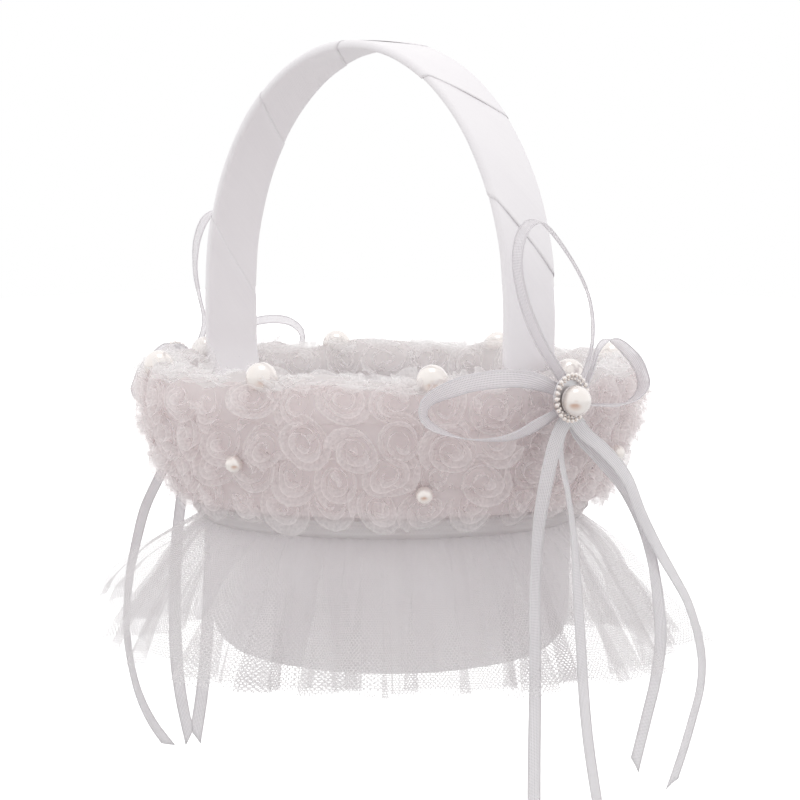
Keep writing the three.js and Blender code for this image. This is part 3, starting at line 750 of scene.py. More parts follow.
def roseRingTree():
    # roses side by side on a ring, each looking out along a lifted axis
    tree, given = startTree("roseRing", {
        "ringRadius": "Float", "ringHeight": "Float", "roseCount": "Int", "lift": "Float",
        "smallest": "Float", "largest": "Float", "jitter": "Vector", "keepClear": "Vector",
        "clearance": "Float", "roses": "Collection", "seed": "Int", "material": "Material"})
    ring = addNode(tree, "GeometryNodeMeshCircle", {"Vertices": given["roseCount"],
                                                    "Radius": given["ringRadius"]})
    back = addNode(tree, "ShaderNodeVectorMath", {0: given["jitter"], "Scale": -1.0},
                   operation="SCALE")
    shake = addNode(tree, "FunctionNodeRandomValue", {
        0: back.outputs[0], 1: given["jitter"], "Seed": given["seed"]}, data_type="FLOAT_VECTOR")
    level = addNode(tree, "ShaderNodeCombineXYZ", {2: given["ringHeight"]})
    moved = addNode(tree, "ShaderNodeVectorMath", {0: shake.outputs[0], 1: level.outputs[0]})
    placed = addNode(tree, "GeometryNodeSetPosition", {"Geometry": ring.outputs[0],
                                                       "Offset": moved.outputs[0]})
    here = addNode(tree, "GeometryNodeInputPosition").outputs[0]
    level = addNode(tree, "ShaderNodeVectorMath", {0: here, 1: (1, 1, 0)}, operation="MULTIPLY")
    outward = addNode(tree, "ShaderNodeVectorMath", {0: level.outputs[0]}, operation="NORMALIZE")
    cosine = addNode(tree, "ShaderNodeMath", {0: given["lift"]}, operation="COSINE")
    sine = addNode(tree, "ShaderNodeMath", {0: given["lift"]}, operation="SINE")
    flat = addNode(tree, "ShaderNodeVectorMath", {0: outward.outputs[0],
                                                  "Scale": cosine.outputs[0]}, operation="SCALE")
    upright = addNode(tree, "ShaderNodeCombineXYZ", {2: sine.outputs[0]})
    tilt = addNode(tree, "FunctionNodeRandomValue", {
        0: (-0.22, -0.22, -0.22), 1: (0.22, 0.22, 0.22), "Seed": 5}, data_type="FLOAT_VECTOR")
    axis = addNode(tree, "ShaderNodeVectorMath", {0: flat.outputs[0], 1: upright.outputs[0]})
    axis = addNode(tree, "ShaderNodeVectorMath", {0: axis.outputs[0], 1: tilt.outputs[0]})
    # roses leave room for both legs of the handle and for both knots
    mirrored = addNode(tree, "ShaderNodeVectorMath", {0: here, 1: (1, 0, 0)},
                       operation="MULTIPLY")
    mirrored = addNode(tree, "ShaderNodeVectorMath", {0: mirrored.outputs[0]},
                       operation="ABSOLUTE")
    others = addNode(tree, "ShaderNodeVectorMath", {0: here, 1: (0, 1, 1)}, operation="MULTIPLY")
    folded = addNode(tree, "ShaderNodeVectorMath", {0: mirrored.outputs[0],
                                                    1: others.outputs[0]})
    away = addNode(tree, "ShaderNodeVectorMath", {0: folded.outputs[0], 1: given["keepClear"]},
                   operation="DISTANCE")
    free = addNode(tree, "FunctionNodeCompare", {0: away.outputs["Value"],
                                                 1: given["clearance"]},
                   data_type="FLOAT", operation="GREATER_THAN")
    kinds = addNode(tree, "GeometryNodeCollectionInfo", {
        "Collection": given["roses"], "Separate Children": True, "Reset Children": True})
    which = addNode(tree, "FunctionNodeRandomValue", {4: 0, 5: 5, "Seed": given["seed"]},
                    data_type="INT")
    size = addNode(tree, "FunctionNodeRandomValue", {
        2: given["smallest"], 3: given["largest"], "Seed": given["seed"]}, data_type="FLOAT")
    planted = addNode(tree, "GeometryNodeInstanceOnPoints", {
        "Points": placed.outputs[0], "Selection": free.outputs[0],
        "Instance": kinds.outputs[0], "Pick Instance": True,
        "Instance Index": which.outputs[2],
        "Rotation": spunRotation(tree, axis.outputs[0], given["seed"]),
        "Scale": size.outputs[1]})
    endTree(tree, planted.outputs[0], given["material"])
    return tree


def fluffTree():
    # loose scraps or fibres stood all over a surface
    tree, given = startTree("fluff", {
        "density": "Float", "smallest": "Float", "largest": "Float", "spread": "Float",
        "scraps": "Collection", "kinds": "Int", "seed": "Int", "material": "Material"})
    strewn = addNode(tree, "GeometryNodeDistributePointsOnFaces", {
        "Mesh": given["Geometry"], "Density": given["density"], "Seed": given["seed"]})
    back = addNode(tree, "ShaderNodeMath", {0: given["spread"], 1: -1.0}, operation="MULTIPLY")
    least = addNode(tree, "ShaderNodeCombineXYZ", {0: back.outputs[0], 1: back.outputs[0],
                                                   2: back.outputs[0]})
    most = addNode(tree, "ShaderNodeCombineXYZ", {0: given["spread"], 1: given["spread"],
                                                  2: given["spread"]})
    lean = addNode(tree, "FunctionNodeRandomValue", {
        0: least.outputs[0], 1: most.outputs[0], "Seed": given["seed"]},
        data_type="FLOAT_VECTOR")
    axis = addNode(tree, "ShaderNodeVectorMath", {0: strewn.outputs["Normal"],
                                                  1: lean.outputs[0]})
    scraps = addNode(tree, "GeometryNodeCollectionInfo", {
        "Collection": given["scraps"], "Separate Children": True, "Reset Children": True})
    which = addNode(tree, "FunctionNodeRandomValue", {4: 0, 5: given["kinds"],
                                                      "Seed": given["seed"]}, data_type="INT")
    size = addNode(tree, "FunctionNodeRandomValue", {
        2: given["smallest"], 3: given["largest"], "Seed": given["seed"]}, data_type="FLOAT")
    planted = addNode(tree, "GeometryNodeInstanceOnPoints", {
        "Points": strewn.outputs["Points"], "Instance": scraps.outputs[0],
        "Pick Instance": True, "Instance Index": which.outputs[2],
        "Rotation": spunRotation(tree, axis.outputs[0], given["seed"]),
        "Scale": size.outputs[1]})
    endTree(tree, planted.outputs[0], given["material"])
    return tree


# ---- chiffon roses, scraps and fibres that the trim is made of ----
rose = {"kinds": 6, "turns": 2.6, "radius": 7.6, "core": 1.5, "height": 5.6, "perTurn": 17,
        "rows": 4, "sink": 1.6}
scrap = {"kinds": 5, "length": 7.0, "width": 7.0}
fibre = {"kinds": 5, "length": 3.9, "width": 0.15}


def stripMesh(name, points, rise):
    rows, columns = points.shape[:2]
    index = np.arange(rows * columns).reshape(rows, columns)
    faces = np.stack([index[:-1, :-1], index[:-1, 1:], index[1:, 1:], index[1:, :-1]], axis=-1)
    mesh = bpy.data.meshes.new(name)
    mesh.from_pydata(points.reshape(-1, 3).tolist(), [], faces.reshape(-1, 4).tolist())
    mesh.attributes.new("rise", "FLOAT", "POINT").data.foreach_set(
        "value", np.clip(rise, 0, 1).ravel())
    mesh.polygons.foreach_set("use_smooth", [True] * len(mesh.polygons))
    return mesh


def roseMesh(kind):
    # a strip rolled into a spiral that opens at the top, with a wavy cut edge
    chance = np.random.default_rng(40 + kind)
    turns = rose["turns"] + chance.uniform(-0.35, 0.35)
    steps = int(turns * rose["perTurn"])
    t = np.linspace(0, 1, steps + 1)[None]
    up = np.linspace(0, 1, rose["rows"] + 1)[:, None]
    angle = 2 * np.pi * turns * t
    waves = sum(chance.uniform(0.15, 0.4) * np.sin(angle * k + chance.uniform(0, 6))
                for k in (0.8, 1.3, 2.2, 3.1))
    flare = 0.6 + 0.4 * up + 0.2 * t * up ** 2
    oval = 1 + 0.14 * np.cos(2 * angle + chance.uniform(0, 6)) * up
    radius = (rose["core"] + (rose["radius"] - rose["core"]) * t ** 0.85) * flare * oval \
        + waves * 0.7 * up ** 1.5 * (0.35 + 0.65 * t)
    height = (rose["height"] * (1 - 0.4 * t) + waves * 0.8) * up \
        - 0.9 * t * up ** 3 - rose["sink"]
    points = np.stack([radius * np.cos(angle), radius * np.sin(angle), height], axis=-1)
    rise = up ** 2 + 0 * t
    return stripMesh("rose" + str(kind), points, rise)


def scrapMesh(kind):
    # a loose curled petal, held at its narrow end
    chance = np.random.default_rng(70 + kind)
    up = np.linspace(0, 1, 5)[:, None]
    side = np.linspace(-1, 1, 4)[None]
    wide = scrap["width"] / 2 * (0.35 + 0.75 * np.sin(up * 2.2)) * side
    curl = chance.uniform(0.5, 1.2)
    deep = scrap["length"] * 0.5 * (1 - np.cos(up * curl * 1.8)) + 0.35 * side ** 2 * (1 + up) \
        + 0.3 * np.sin(4 * side + chance.uniform(0, 6)) * up
    tall = scrap["length"] * (np.sin(up * curl * 1.6) / (curl * 1.6)) \
        * (1 + 0.12 * np.sin(5 * side + kind)) - 1.2
    points = np.stack([wide, deep + 0 * side, tall + 0 * side], axis=-1)
    return stripMesh("scrap" + str(kind), points, up ** 1.5 + 0 * side)


def fibreMesh(kind):
    # one frayed thread, bent by chance
    chance = np.random.default_rng(90 + kind)
    up = np.linspace(0, 1, 5)[:, None]
    side = np.linspace(-1, 1, 2)[None]
    bendX, bendY = chance.uniform(-2.6, 2.6, 2)
    points = np.stack([bendX * up ** 2 + side * fibre["width"] / 2 * (1 - 0.5 * up),
                       bendY * up ** 1.6 + 0 * side,
                       fibre["length"] * up * (1 - 0.25 * up) + 0 * side], axis=-1)
    return stripMesh("fibre" + str(kind), points, 0.3 + 0 * up + 0 * side)


def gather(name, meshes):
    collection = bpy.data.collections.new(name)
    bpy.context.scene.collection.children.link(collection)
    for mesh in meshes:
        collection.objects.link(bpy.data.objects.new(mesh.name, mesh))
    return collection


roses = gather("roses", [roseMesh(kind) for kind in range(rose["kinds"])])
scraps = gather("scraps", [scrapMesh(kind) for kind in range(scrap["kinds"])])
fibres = gather("fibres", [fibreMesh(kind) for kind in range(fibre["kinds"])])
roseRing, fluff = roseRingTree(), fluffTree()

# ---- rosette trim: the roll over the rim, then three rows down the flare ----
trim = {
    "rim_roll": {
        "outline": [[82.8, 89.1], [86.8, 89.2], [87.0, 89.6], [88.0, 93], [88.3, 97.5], [87.2, 101.8],
                    [84.6, 104.6], [81.4, 105], [78.4, 103.2], [76.2, 99.6], [75.3, 95],
                    [75.8, 91], [77.2, 89.2]],
        "rings": [
            {"ringRadius": 87.2, "ringHeight": 96.6, "roseCount": 33, "lift": 8},
            {"ringRadius": 82.6, "ringHeight": 102.0, "roseCount": 34, "lift": 80},
            {"ringRadius": 77.0, "ringHeight": 98.6, "roseCount": 29, "lift": 160}],
        "turnOver": 5, "scrapDensity": 0.019, "fibreDensity": 0.009},
    "rosette_row_1": {
        "outline": [[80.2, 78.3], [84.6, 78.5], [84.9, 78.9], [86.0, 81.5], [86.7, 85],
                    [87.1, 89.0], [86.9, 89.4], [83.4, 89.5]],
        "rings": [{"ringRadius": 86.0, "ringHeight": 83.8, "roseCount": 34, "lift": -12}],
        "scrapDensity": 0.007, "fibreDensity": 0.004},
    "rosette_row_2": {
        "outline": [[76.4, 67.7], [80.1, 67.9], [80.5, 68.3], [82.0, 71], [83.5, 75],
                    [84.9, 78.4], [84.7, 78.8], [80.6, 78.9]],
        "rings": [{"ringRadius": 82.0, "ringHeight": 73.2, "roseCount": 32, "lift": -16}],
        "scrapDensity": 0.007, "fibreDensity": 0.004},
    "rosette_row_3": {
        "outline": [[72.2, 57.7], [74.4, 57.9], [74.8, 58.3], [76.4, 60.5], [78.3, 64],
                    [80.4, 67.8], [80.2, 68.2], [76.7, 68.3]],
        "rings": [{"ringRadius": 76.8, "ringHeight": 63.0, "roseCount": 30, "lift": -16}],
        "scrapDensity": 0.008, "fibreDensity": 0.006},
}
trimLook = {"smallest": 1.02, "largest": 1.26, "inOut": 0.9, "upDown": 2.3,
            "padSteps": 288, "padDepth": 0.5}
loose = {"smallest": 0.5, "largestScrap": 0.9, "largestFibre": 1.2, "spread": 0.8}
seam = {"wander": 1.5, "waves": 15, "straightBelow": 58, "fadeOver": 8}
trimRoom = {"leg": (75, -9, 104), "legClear": 13.5, "knot": (94.6, -9, 96.7), "knotClear": 11}


def backingMesh(name, outline):
    # lumpy padding whose seams wander up and down, as rows sewn by hand do
    mesh = spunMesh(name, outline, trimLook["padSteps"], lambda angle, height, radius:
                    trimLook["padDepth"] * np.sin(23 * angle + height)
                    * np.sin(9 * angle - height * 0.7))
    for vertex in mesh.vertices:
        angle = math.atan2(vertex.co.y, vertex.co.x)
        wave = math.sin(seam["waves"] * angle + 2.2 * math.sin(4 * angle) + vertex.co.z * 0.09)
        share = min(max((vertex.co.z - seam["straightBelow"]) / seam["fadeOver"], 0), 1)
        vertex.co.z += seam["wander"] * wave * share
    return mesh


def stripsOf(row):
    # the rim's outer face is the same cloth as the rows; past the turn the rim takes a whiter copy of
    # that cloth, painted light where it faces up and in, while the rows keep the pinker copy, painted
    # warm shade
    line, turnOver = row["outline"], row.get("turnOver", len(row["outline"]) - 1)
    strips = [(line[:turnOver + 1], chiffonPad, chiffon)]
    if turnOver < len(line) - 1:
        strips.append((line[turnOver:], rimPadLitCopy, rimChiffonLitCopy))
    return strips


def strewn(backing, petal, kinds, collection, density, largest, seed):
    return runTree(fluff, backing.copy(), {
        "density": density, "smallest": loose["smallest"], "largest": largest,
        "spread": loose["spread"], "scraps": collection, "kinds": kinds - 1, "seed": seed,
        "material": petal})


def roseRow(ring, petal, isOuter, seed):
    upDown = trimLook["upDown"] if isOuter else trimLook["inOut"]
    return runTree(roseRing, None, {
        "ringRadius": ring["ringRadius"], "ringHeight": ring["ringHeight"],
        "roseCount": ring["roseCount"], "lift": math.radians(ring["lift"]),
        "smallest": trimLook["smallest"], "largest": trimLook["largest"],
        "jitter": (trimLook["inOut"], trimLook["inOut"], upDown),
        "keepClear": trimRoom["knot"] if isOuter else trimRoom["leg"],
        "clearance": trimRoom["knotClear"] if isOuter else trimRoom["legClear"],
        "roses": roses, "seed": seed, "material": petal})


for order, (name, row) in enumerate(trim.items()):
    pieces = []
    for number, (line, pad, petal) in enumerate(stripsOf(row)):
        backing, seed = backingMesh(name + "Backing", line), order + 5 * number
        pieces += [
            (backing, pad),
            (strewn(backing, petal, scrap["kinds"], scraps, row["scrapDensity"],
                    loose["largestScrap"], 31 + seed), petal),
            (strewn(backing, petal, fibre["kinds"], fibres, row["fibreDensity"],
                    loose["largestFibre"], 51 + seed), petal)]
    for number, ring in enumerate(row["rings"]):
        # the rim's top and inside rings take the whiter copy: painted light
        petal = rimChiffonLitCopy if number else chiffon
        pieces.append((roseRow(ring, petal, number == 0, 11 + 7 * order + number), petal))
    whole = joined(name, pieces)
    print("  ", name, len(whole.polygons), "faces")
    addPiece(name.replace("_r", "R").replace("_", ""), whole, [name])

for collection in (roses, scraps, fibres):
    for item in list(collection.objects):
        bpy.data.objects.remove(item)
    bpy.data.collections.remove(collection)
print("rosette trim ready")

# ---- waist band: a folded strip of net over the gathers ----
band = {"low": 49.9, "high": 58.2, "bulge": 3.6}


def bandRipple(angle, height, radius):
    return 0.35 * np.sin(height * 2.6 + 0.8 * np.sin(3 * angle)) \
        + 0.3 * np.sin(7 * angle + height * 0.4)


low, high = band["low"], band["high"]
bandLine = [[wallRadius(z) + 1.4, z] for z in np.linspace(high, low, 5)] \
    + [[wallRadius(z) + 1.4 + band["bulge"] * math.sin(math.pi * share) ** 0.35, z]
       for share, z in zip(np.linspace(0.04, 0.96, 16), np.linspace(low, high, 16))]
waist = spunMesh("waistBand", bandLine + bandLine[:1], 256, bandRipple)
waistBand = addPiece("waistBand", waist, ["waist_band"], bandNet)
print("waist band ready")

# ---- skirt: two gathered layers of tulle ----
skirt = {
    "top": 50.2, "hem": 0.4, "spread": 10, "spreadAngle": 45, "around": 960, "down": 26,
    "bigFolds": 12, "smallFolds": 25, "gathers": 96, "cutWidth": 1000.0,
    "lobe": {"angle": 236, "width": 26, "lift": 25, "pull": -6},
    "layers": {
        "skirt_inner": {"topRadius": 65.3, "hemRadius": 88, "bigDepth": 4.5, "smallDepth": 2.8,
                        "lean": 3.6, "smallLean": 3.4, "phase": 1.1, "puff": 2.0, "lobe": 0},
        "skirt_outer": {"topRadius": 66.6, "hemRadius": 98, "bigDepth": 6, "smallDepth": 3.2,
                        "lean": 4.4, "smallLean": 3.9, "phase": 3.4, "puff": 3.0, "lobe": 1},
    },
}


def skirtMesh(name, layer):
    angle = np.linspace(0, 2 * np.pi, skirt["around"] + 1)[None]
    drop = np.linspace(0, 1, skirt["down"] + 1)[::-1][:, None]
    shift = layer["phase"]
    bigPhase = skirt["bigFolds"] * angle - math.radians(120) + 0.5 * np.sin(2 * angle + shift) \
        + 0.35 * np.sin(5 * angle + 2 * shift)
    smallPhase = skirt["smallFolds"] * angle + 1.3 * np.sin(3 * angle + shift) \
        + 0.8 * np.sin(8 * angle + 1.4 * shift)
    gatherPhase = skirt["gathers"] * angle + 2.0 * np.sin(7 * angle + shift)
    size = 1 + 0.3 * np.sin(3 * angle + 1.7 * shift) + 0.18 * np.sin(7 * angle + shift)
    smallSize = 1 + 0.55 * np.sin(5 * angle + 0.6 * shift)
    flare = 0.35 * np.sin(drop * np.pi / 2) + 0.65 * drop
    spread = skirt["spread"] * np.cos(2 * (angle - math.radians(skirt["spreadAngle"])))
    radius = layer["topRadius"] + (layer["hemRadius"] + spread - layer["topRadius"]) * flare
    radius = radius + layer["bigDepth"] * size * np.cos(bigPhase) * drop \
        + layer["smallDepth"] * smallSize * np.cos(smallPhase) * drop ** 0.6 \
        + 0.9 * np.cos(gatherPhase) * (1 - drop) ** 3 \
        + layer["puff"] * np.sin(np.pi * np.clip(drop / 0.45, 0, 1)) ** 0.8
    aside = layer["lean"] * size * np.sin(2 * bigPhase) * drop \
        + layer["smallLean"] * smallSize * np.sin(2 * smallPhase) * drop ** 0.8
    height = skirt["top"] + (skirt["hem"] - skirt["top"]) * drop \
        + 0.6 * drop ** 3 * np.cos(bigPhase + 0.6) + 0.3 * drop ** 3 * np.sin(smallPhase)
    if layer["lobe"]:
        # one fold of the outer layer stands out and shows its hem
        lobe = skirt["lobe"]
        near = np.exp(-((np.degrees(angle) - lobe["angle"]) / lobe["width"]) ** 2)
        height = height + lobe["lift"] * near * drop ** 1.6
        radius = radius + lobe["pull"] * near * drop + 9 * near * np.sin(np.pi * drop) ** 1.2
    turned = angle + aside / radius
    points = np.stack([radius * np.cos(turned), radius * np.sin(turned), height], axis=-1)
    down = np.linalg.norm(np.diff(points, axis=0), axis=2).mean(axis=1)
    fallen = np.concatenate([np.cumsum(down[::-1])[::-1], [0]])
    uvs = np.stack([angle / (2 * np.pi) * skirt["cutWidth"] + 0 * drop,
                    fallen[:, None] + 0 * angle + 5], axis=-1)
    return gridMesh(name, points, uvs)


for name, layer in skirt["layers"].items():
    mesh = skirtMesh(name, layer)
    sheet = addPiece(name.replace("_i", "I").replace("_o", "O"), mesh, [name], skirtNet)
    area = sum(face.area for face in mesh.polygons)
    print("  ", name, "cloth", round(area * 1e6), "square mm")
print("skirt ready")


# ---- bows ----
bow = {"knot": (94.6, -9, 96.7), "knotRadii": (3.3, 3.8, 4.0), "plateRadius": 7.5,
       "plateThickness": 0.8, "beadRows": ((7.65, 0.85), (6.35, 0.55)), "beadCount": 24,
       "ballRadius": 5.1, "ballMiddle": 2.5, "ballDrop": 0.8, "gap": 0.3,
       "pinned": (0, -6.3, 2.2)}
loopRoutes = {
    "near_bow_loop_up": [
        [94.6, -10.5, 101.1], [94, -16, 108], [93.4, -24, 118], [93, -31.5, 132],
        [93, -34.5, 145], [93, -31.5, 154], [93, -24.5, 157], [93, -12, 148], [93.3, 0.5, 131],
        [93.6, 2, 117], [94.2, -2, 107], [94.6, -7, 101.2]],
    "near_bow_loop_left": [
        [94.6, -13.4, 99.2], [94.6, -21, 102.6], [93.8, -31, 105.5], [90.2, -42, 106],
        [83.4, -52, 103.8], [76, -59.3, 98.4], [75.6, -59.6, 93], [82.4, -51, 87.2],
        [90.4, -36.5, 86.4], [94, -23, 91], [94.9, -13.6, 94.9]],
    "near_bow_loop_right": [
        [94.6, -4.7, 98.7], [94.4, 0.5, 106.4], [93.4, 6, 113.8], [91.5, 14, 116.4],
        [89.4, 24.5, 112], [87.4, 33.5, 105.6], [86.8, 37, 99.4], [89.4, 29, 95],
        [93.8, 13, 94.4], [95, 3.5, 94.8], [95, -4.6, 95.4]],
    "far_bow_loop_up": [
        [-94.6, -10.5, 101.1], [-94.2, -7.4, 108], [-93.8, -6, 114], [-93.4, -9.4, 126],
        [-93.2, -11.2, 135], [-93.2, -9.6, 147], [-93.2, -4, 155], [-93.2, 3, 156.4],
        [-93.2, 9, 150], [-93.3, 11, 138], [-93.6, 7.5, 122], [-94.2, -1, 108],
        [-94.6, -7, 101.2]],
    "far_bow_loop_left": [
        [-94.6, -13.4, 99.2], [-94.5, -20.3, 105.5], [-92, -31.5, 102.8], [-86.8, -43, 98.4],
        [-82.6, -49.4, 92.6], [-83.4, -47.8, 88.4], [-87.6, -39.6, 86], [-92, -28.5, 87.4],
        [-94.8, -19, 91], [-94.9, -13.6, 94.9]],
    "far_bow_loop_right": [
        [-94.6, -4.7, 98.7], [-94.6, 3, 105.5], [-93, 15.5, 112.5], [-90.6, 26.5, 114],
        [-88.4, 34, 112.4], [-87.4, 38.4, 108], [-87.8, 37.6, 102.4], [-90.2, 31, 96],
        [-93.6, 18, 93.4], [-95, 5, 94.2], [-95, -4.6, 95.4]],
}

# how far the ribbon is turned about its own line along each loop, in degrees
loopTurns = {
    "near_bow_loop_up": [0, 5, 5, 0, 5, 18, 28, 38, 40, 20],
    "near_bow_loop_left": [15, 60, 92, 84, 46, 6, -20, -58, -50],
    "near_bow_loop_right": [-20, -38, 0, -6, 23, 13, -7, 0],
    "far_bow_loop_up": [-16, -30, -30, -8, 0, 0, 0, 0],
    "far_bow_loop_left": [-10, -26, 4, 33, 30, 0, -20, -20],
    "far_bow_loop_right": [-5, 8, 26, 46, 35, 15, 0],
}


def awayFromCup(line):
    return np.stack([line[:, 0], line[:, 1] * 0.7, 0 * line[:, 0]], axis=1)


for order, (name, route) in enumerate(loopRoutes.items()):
    turns = loopTurns[name]
    mesh, line, length = ribbonMesh(name, route, awayFromCup, lambda share: np.interp(
        share, np.linspace(0, 1, len(turns)), turns), phase=order)
    loop = addPiece("ribbonLoop" + str(order + 1), mesh, [name], sheerRibbon)
    thicken(loop, ribbon["thickness"])


def ballMesh(name, centre, radii, around=40, up=24, ripple=None):
    angle = np.linspace(0, 2 * np.pi, around + 1)[None]
    rise = np.linspace(-np.pi / 2, np.pi / 2, up + 1)[:, None]
    grow = 1 + (ripple(angle, rise) if ripple else 0 * angle * rise)
    points = np.stack([grow * np.cos(rise) * np.cos(angle) * radii[0] + centre[0],
                       grow * np.cos(rise) * np.sin(angle) * radii[1] + centre[1],
                       grow * np.sin(rise) * radii[2] + centre[2] + 0 * angle], axis=-1)
    uvs = np.stack([angle * radii[0] + 0 * rise, (rise + 2) * radii[2] + 0 * angle], axis=-1)
    return gridMesh(name, points, uvs)


def knotCreases(angle, rise):
    # two turns of ribbon pulled tight round the middle
    return 0.1 * np.abs(np.sin(rise * 3.2 + 0.5 * np.sin(angle))) + 0.03 * np.sin(9 * rise)


def facingOut(mesh, side, distance):
    # made to face +Z, and turned to face away from the cup
    turn = Matrix.Rotation(side * math.pi / 2, 4, "Y")
    middle = Vector((side * (bow["knot"][0] + bow["knotRadii"][0] + distance), bow["knot"][1],
                     bow["knot"][2])) + Vector(bow["pinned"])
    mesh.transform(Matrix.Translation(middle) @ turn)
    return mesh


def beadRingTree():
    tree, given = startTree("beadRing", {
        "ringRadius": "Float", "beadCount": "Int", "beadRadius": "Float",
        "material": "Material"})
    ring = addNode(tree, "GeometryNodeMeshCircle", {"Vertices": given["beadCount"],
                                                    "Radius": given["ringRadius"]})
    bead = addNode(tree, "GeometryNodeMeshUVSphere", {"Segments": 8, "Rings": 6,
                                                      "Radius": given["beadRadius"]})
    smoothed = addNode(tree, "GeometryNodeSetShadeSmooth", {0: bead.outputs[0]})
    planted = addNode(tree, "GeometryNodeInstanceOnPoints", {
        "Points": ring.outputs[0], "Instance": smoothed.outputs[0]})
    endTree(tree, planted.outputs[0], given["material"])
    return tree


beadTree = beadRingTree()
for side, name in ((1, "near_bow"), (-1, "far_bow")):
    title = name.split("_")[0]
    middle = (side * bow["knot"][0], bow["knot"][1], bow["knot"][2])
    addPiece(title + "Knot", ballMesh("knot", middle, bow["knotRadii"], 36, 28, knotCreases),
             [name + "_knot"], ribbonCloth)
    thick = bow["plateThickness"]
    plate = spunMesh("plate", softDisc(bow["plateRadius"], 0, thick, 0.35), 64)
    addPiece(title + "BroochPlate", facingOut(plate, side, bow["gap"]),
             [name + "_brooch_plate"], steel)
    onPlate = 2 * bow["gap"] + thick
    beads = bmesh.new()
    for ringRadius, beadRadius in bow["beadRows"]:
        row = runTree(beadTree, None, {"ringRadius": ringRadius, "beadCount": bow["beadCount"],
                                       "beadRadius": beadRadius, "material": pearlCoat})
        row.transform(Matrix.Translation((0, 0, beadRadius)))
        beads.from_mesh(row)
    whole = bpy.data.meshes.new("beads")
    beads.to_mesh(whole)
    beads.free()
    addPiece(title + "BeadRing", facingOut(whole, side, onPlate), [name + "_bead_ring"],
             pearlCoat)
    start = -math.asin(bow["ballMiddle"] / bow["ballRadius"])
    ball = [[0, 0]] + [[bow["ballRadius"] * math.cos(a),
                        bow["ballMiddle"] + bow["ballRadius"] * math.sin(a)]
                       for a in np.linspace(start, math.pi / 2, 17)]
    cabochon = facingOut(spunMesh("cabochon", ball, 56), side, onPlate)
    cabochon.transform(Matrix.Translation((0, 0, -bow["ballDrop"])))
    addPiece(title + "Cabochon", cabochon, [name + "_cabochon"], pearlCoat)
print("bows ready")

# ---- pearls nestled in the trim ----
pearls = {"rimRadius": 5.3, "trimRadius": 3.0}
for name in sorted(frame["nodes"]):
    if not (name.startswith("rim_pearl") or name.startswith("trim_pearl")):
        continue
    low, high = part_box(name)
    centre = (intoFrame.inverted() @ ((Vector(low) + Vector(high)) / 2))
    radius = pearls["rimRadius"] if name.startswith("rim") else pearls["trimRadius"]
    radii = (radius, radius, radius)
    addPiece(name.replace("_p", "P").replace("_", ""), ballMesh("pearl", centre, radii, 32, 20),
             [name], pearlCoat)
print("pearls ready")

# ---- staples through the feet of the handle ----
staple = {"wire": 0.36, "leg": 1.3}
for name in ("staple_near_1", "staple_near_2", "staple_far_1", "staple_far_2"):
    low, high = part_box(name)
    middle = intoFrame.inverted() @ ((Vector(low) + Vector(high)) / 2)
    side = 1 if middle.x > 0 else -1
    half = (high[1] - low[1]) * 500 - staple["wire"]
    route = [[middle.x + side * staple["leg"], middle.y - half, middle.z],
             [middle.x, middle.y - half, middle.z],
             [middle.x, middle.y + half, middle.z],
             [middle.x + side * staple["leg"], middle.y + half, middle.z]]
    line, along = smoothRoute(route, 0.35)
    tangent = unit(np.gradient(line, axis=0))
    upward = unit(np.cross(tangent, np.array([0.02, 0.01, 1.0])))
    across = np.cross(tangent, upward)
    spin = np.linspace(0, 2 * np.pi, 11)[None, :, None]
    points = line[:, None] + staple["wire"] * (upward[:, None] * np.cos(spin)
                                               + across[:, None] * np.sin(spin))
    points = np.concatenate([line[:1, None] + 0 * points[:1], points,
                             line[-1:, None] + 0 * points[-1:]])
    uvs = np.zeros(points.shape[:2] + (2,))
    mesh = gridMesh(name, points, uvs)
    shape = bmesh.new()
    shape.from_mesh(mesh)
    bmesh.ops.recalc_face_normals(shape, faces=shape.faces)
    shape.to_mesh(mesh)
    shape.free()
    addPiece(name.replace("staple_", "staple").replace("_", ""), mesh, [name], steel)
print("staples ready")

# ---- studio ----
studio = {"floorBelow": 0.035, "floorSize": 6.0, "floorGlow": 0.75,
          "floorColour": "#dedede", "front": (0.66, -0.66, -0.36), "frontLight": 0.93,
          "backLight": 1.06, "keyPower": 0.8, "keySize": 0.5, "keyPlace": (0.1, -0.08, 0.95),
          "warmPlace": (0.29, -0.29)}


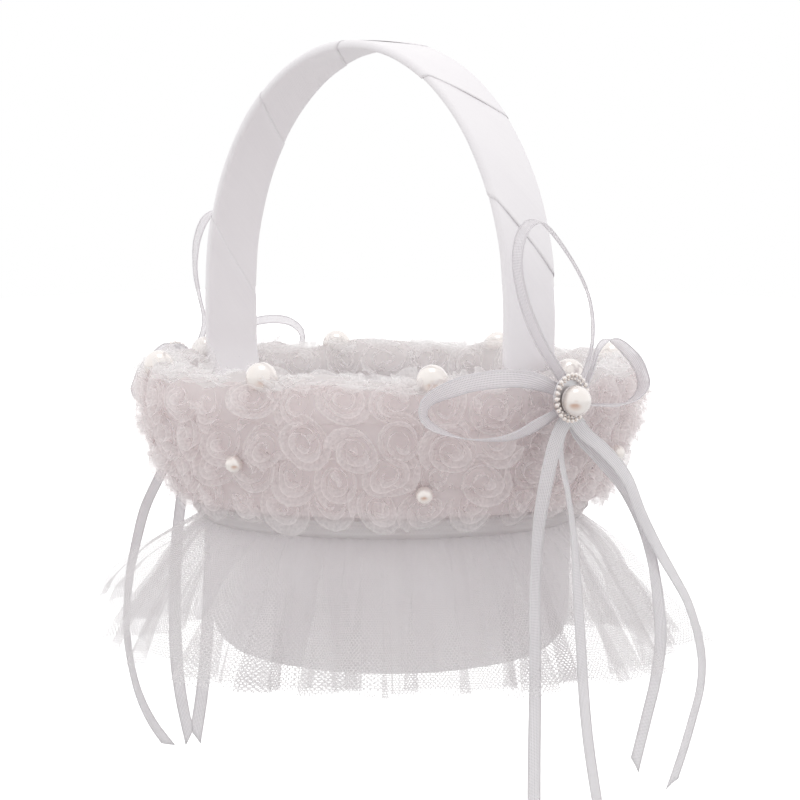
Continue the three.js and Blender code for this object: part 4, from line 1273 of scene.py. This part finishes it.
def makeStudio():
    scene = bpy.context.scene
    lowest = cadBox[0][2] - studio["floorBelow"]
    half = studio["floorSize"] / 2
    floorMesh = bpy.data.meshes.new("floor")
    floorMesh.from_pydata([(-half, -half, lowest), (half, -half, lowest), (half, half, lowest),
                           (-half, half, lowest)], [], [(0, 1, 2, 3)])
    floor = bpy.data.objects.new("floor", floorMesh)
    scene.collection.objects.link(floor)
    paint, tree = startMaterial("paleStudioFloor")
    seen = addNode(tree, "ShaderNodeLightPath")
    matt = addNode(tree, "ShaderNodeBsdfDiffuse", {0: colour(studio["floorColour"])})
    bright = addNode(tree, "ShaderNodeEmission", {0: (1, 1, 1, 1), 1: studio["floorGlow"]})
    lit = addNode(tree, "ShaderNodeAddShader", {0: matt.outputs[0], 1: bright.outputs[0]})
    # the floor glows warm near the front, below the lens, but only to glossy rays: a painted
    # reflection, standing for a warm table front, which the pearls mirror
    place = addNode(tree, "ShaderNodeTexCoord").outputs["Object"]
    away = addNode(tree, "ShaderNodeVectorMath", {0: place, 1: studio["warmPlace"] + (lowest,)},
                   operation="DISTANCE")
    near = addNode(tree, "ShaderNodeMapRange", {0: away.outputs["Value"], 1: 0.34, 2: 0.12})
    warm = addNode(tree, "ShaderNodeMix", {0: near.outputs[0], 6: (0.8, 0.8, 0.8, 1),
                                           7: colour("#b07a52")}, data_type="RGBA")
    mirrored = addNode(tree, "ShaderNodeEmission", {0: warm.outputs[2]})
    unseen = addNode(tree, "ShaderNodeMixShader", {0: seen.outputs["Is Glossy Ray"],
                                                   1: matt.outputs[0], 2: mirrored.outputs[0]})
    surface = addNode(tree, "ShaderNodeMixShader", {0: seen.outputs["Is Camera Ray"],
                                                    1: unseen.outputs[0], 2: lit.outputs[0]})
    addNode(tree, "ShaderNodeOutputMaterial", {0: surface.outputs[0]})
    floorMesh.materials.append(paint)

    # the room is white all round, but it lights the basket more from behind and above
    # than from the front
    world = bpy.data.worlds.new("studioRoom")
    scene.world = world
    world.use_nodes = True
    tree = world.node_tree
    tree.nodes.clear()
    seen = addNode(tree, "ShaderNodeLightPath")
    toward = addNode(tree, "ShaderNodeTexCoord").outputs["Generated"]
    front = addNode(tree, "ShaderNodeVectorMath", {0: toward, 1: studio["front"]},
                    operation="DOT_PRODUCT")
    fall = addNode(tree, "ShaderNodeMapRange", {0: front.outputs["Value"], 1: -0.5, 2: 0.9,
                                                3: studio["backLight"], 4: studio["frontLight"]})
    # a dark warm patch low in front, which the pearls mirror
    patch = addNode(tree, "ShaderNodeMapRange", {0: front.outputs["Value"], 1: 0.86, 2: 0.97,
                                                 4: 0.85}, interpolation_type="SMOOTHSTEP")
    lit = addNode(tree, "ShaderNodeMix", {0: patch.outputs[0], 6: (1, 1, 1, 1),
                                          7: colour("#a06a48")}, data_type="RGBA")
    room = addNode(tree, "ShaderNodeBackground", {0: lit.outputs[2], 1: fall.outputs[0]})
    white = addNode(tree, "ShaderNodeBackground", {0: (1, 1, 1, 1), 1: 1.0})
    sky = addNode(tree, "ShaderNodeMixShader", {0: seen.outputs["Is Camera Ray"],
                                                1: room.outputs[0], 2: white.outputs[0]})
    addNode(tree, "ShaderNodeOutputWorld", {0: sky.outputs[0]})

    key = bpy.data.lights.new("overhead", "AREA")
    key.shape, key.size, key.energy = "SQUARE", studio["keySize"], studio["keyPower"]
    key.color = (1, 0.985, 0.975)
    lamp = bpy.data.objects.new("overhead", key)
    scene.collection.objects.link(lamp)
    lamp.location = studio["keyPlace"]
    aim = Vector(studio["keyPlace"]) - Vector((0, 0, -0.12))
    lamp.rotation_euler = aim.to_track_quat("Z", "Y").to_euler()
    scene.view_settings.view_transform = "Standard"
    if hasattr(scene, "cycles"):
        scene.cycles.transparent_max_bounces = 40   # rays pass many layers of tulle


makeStudio()
print("studio ready")
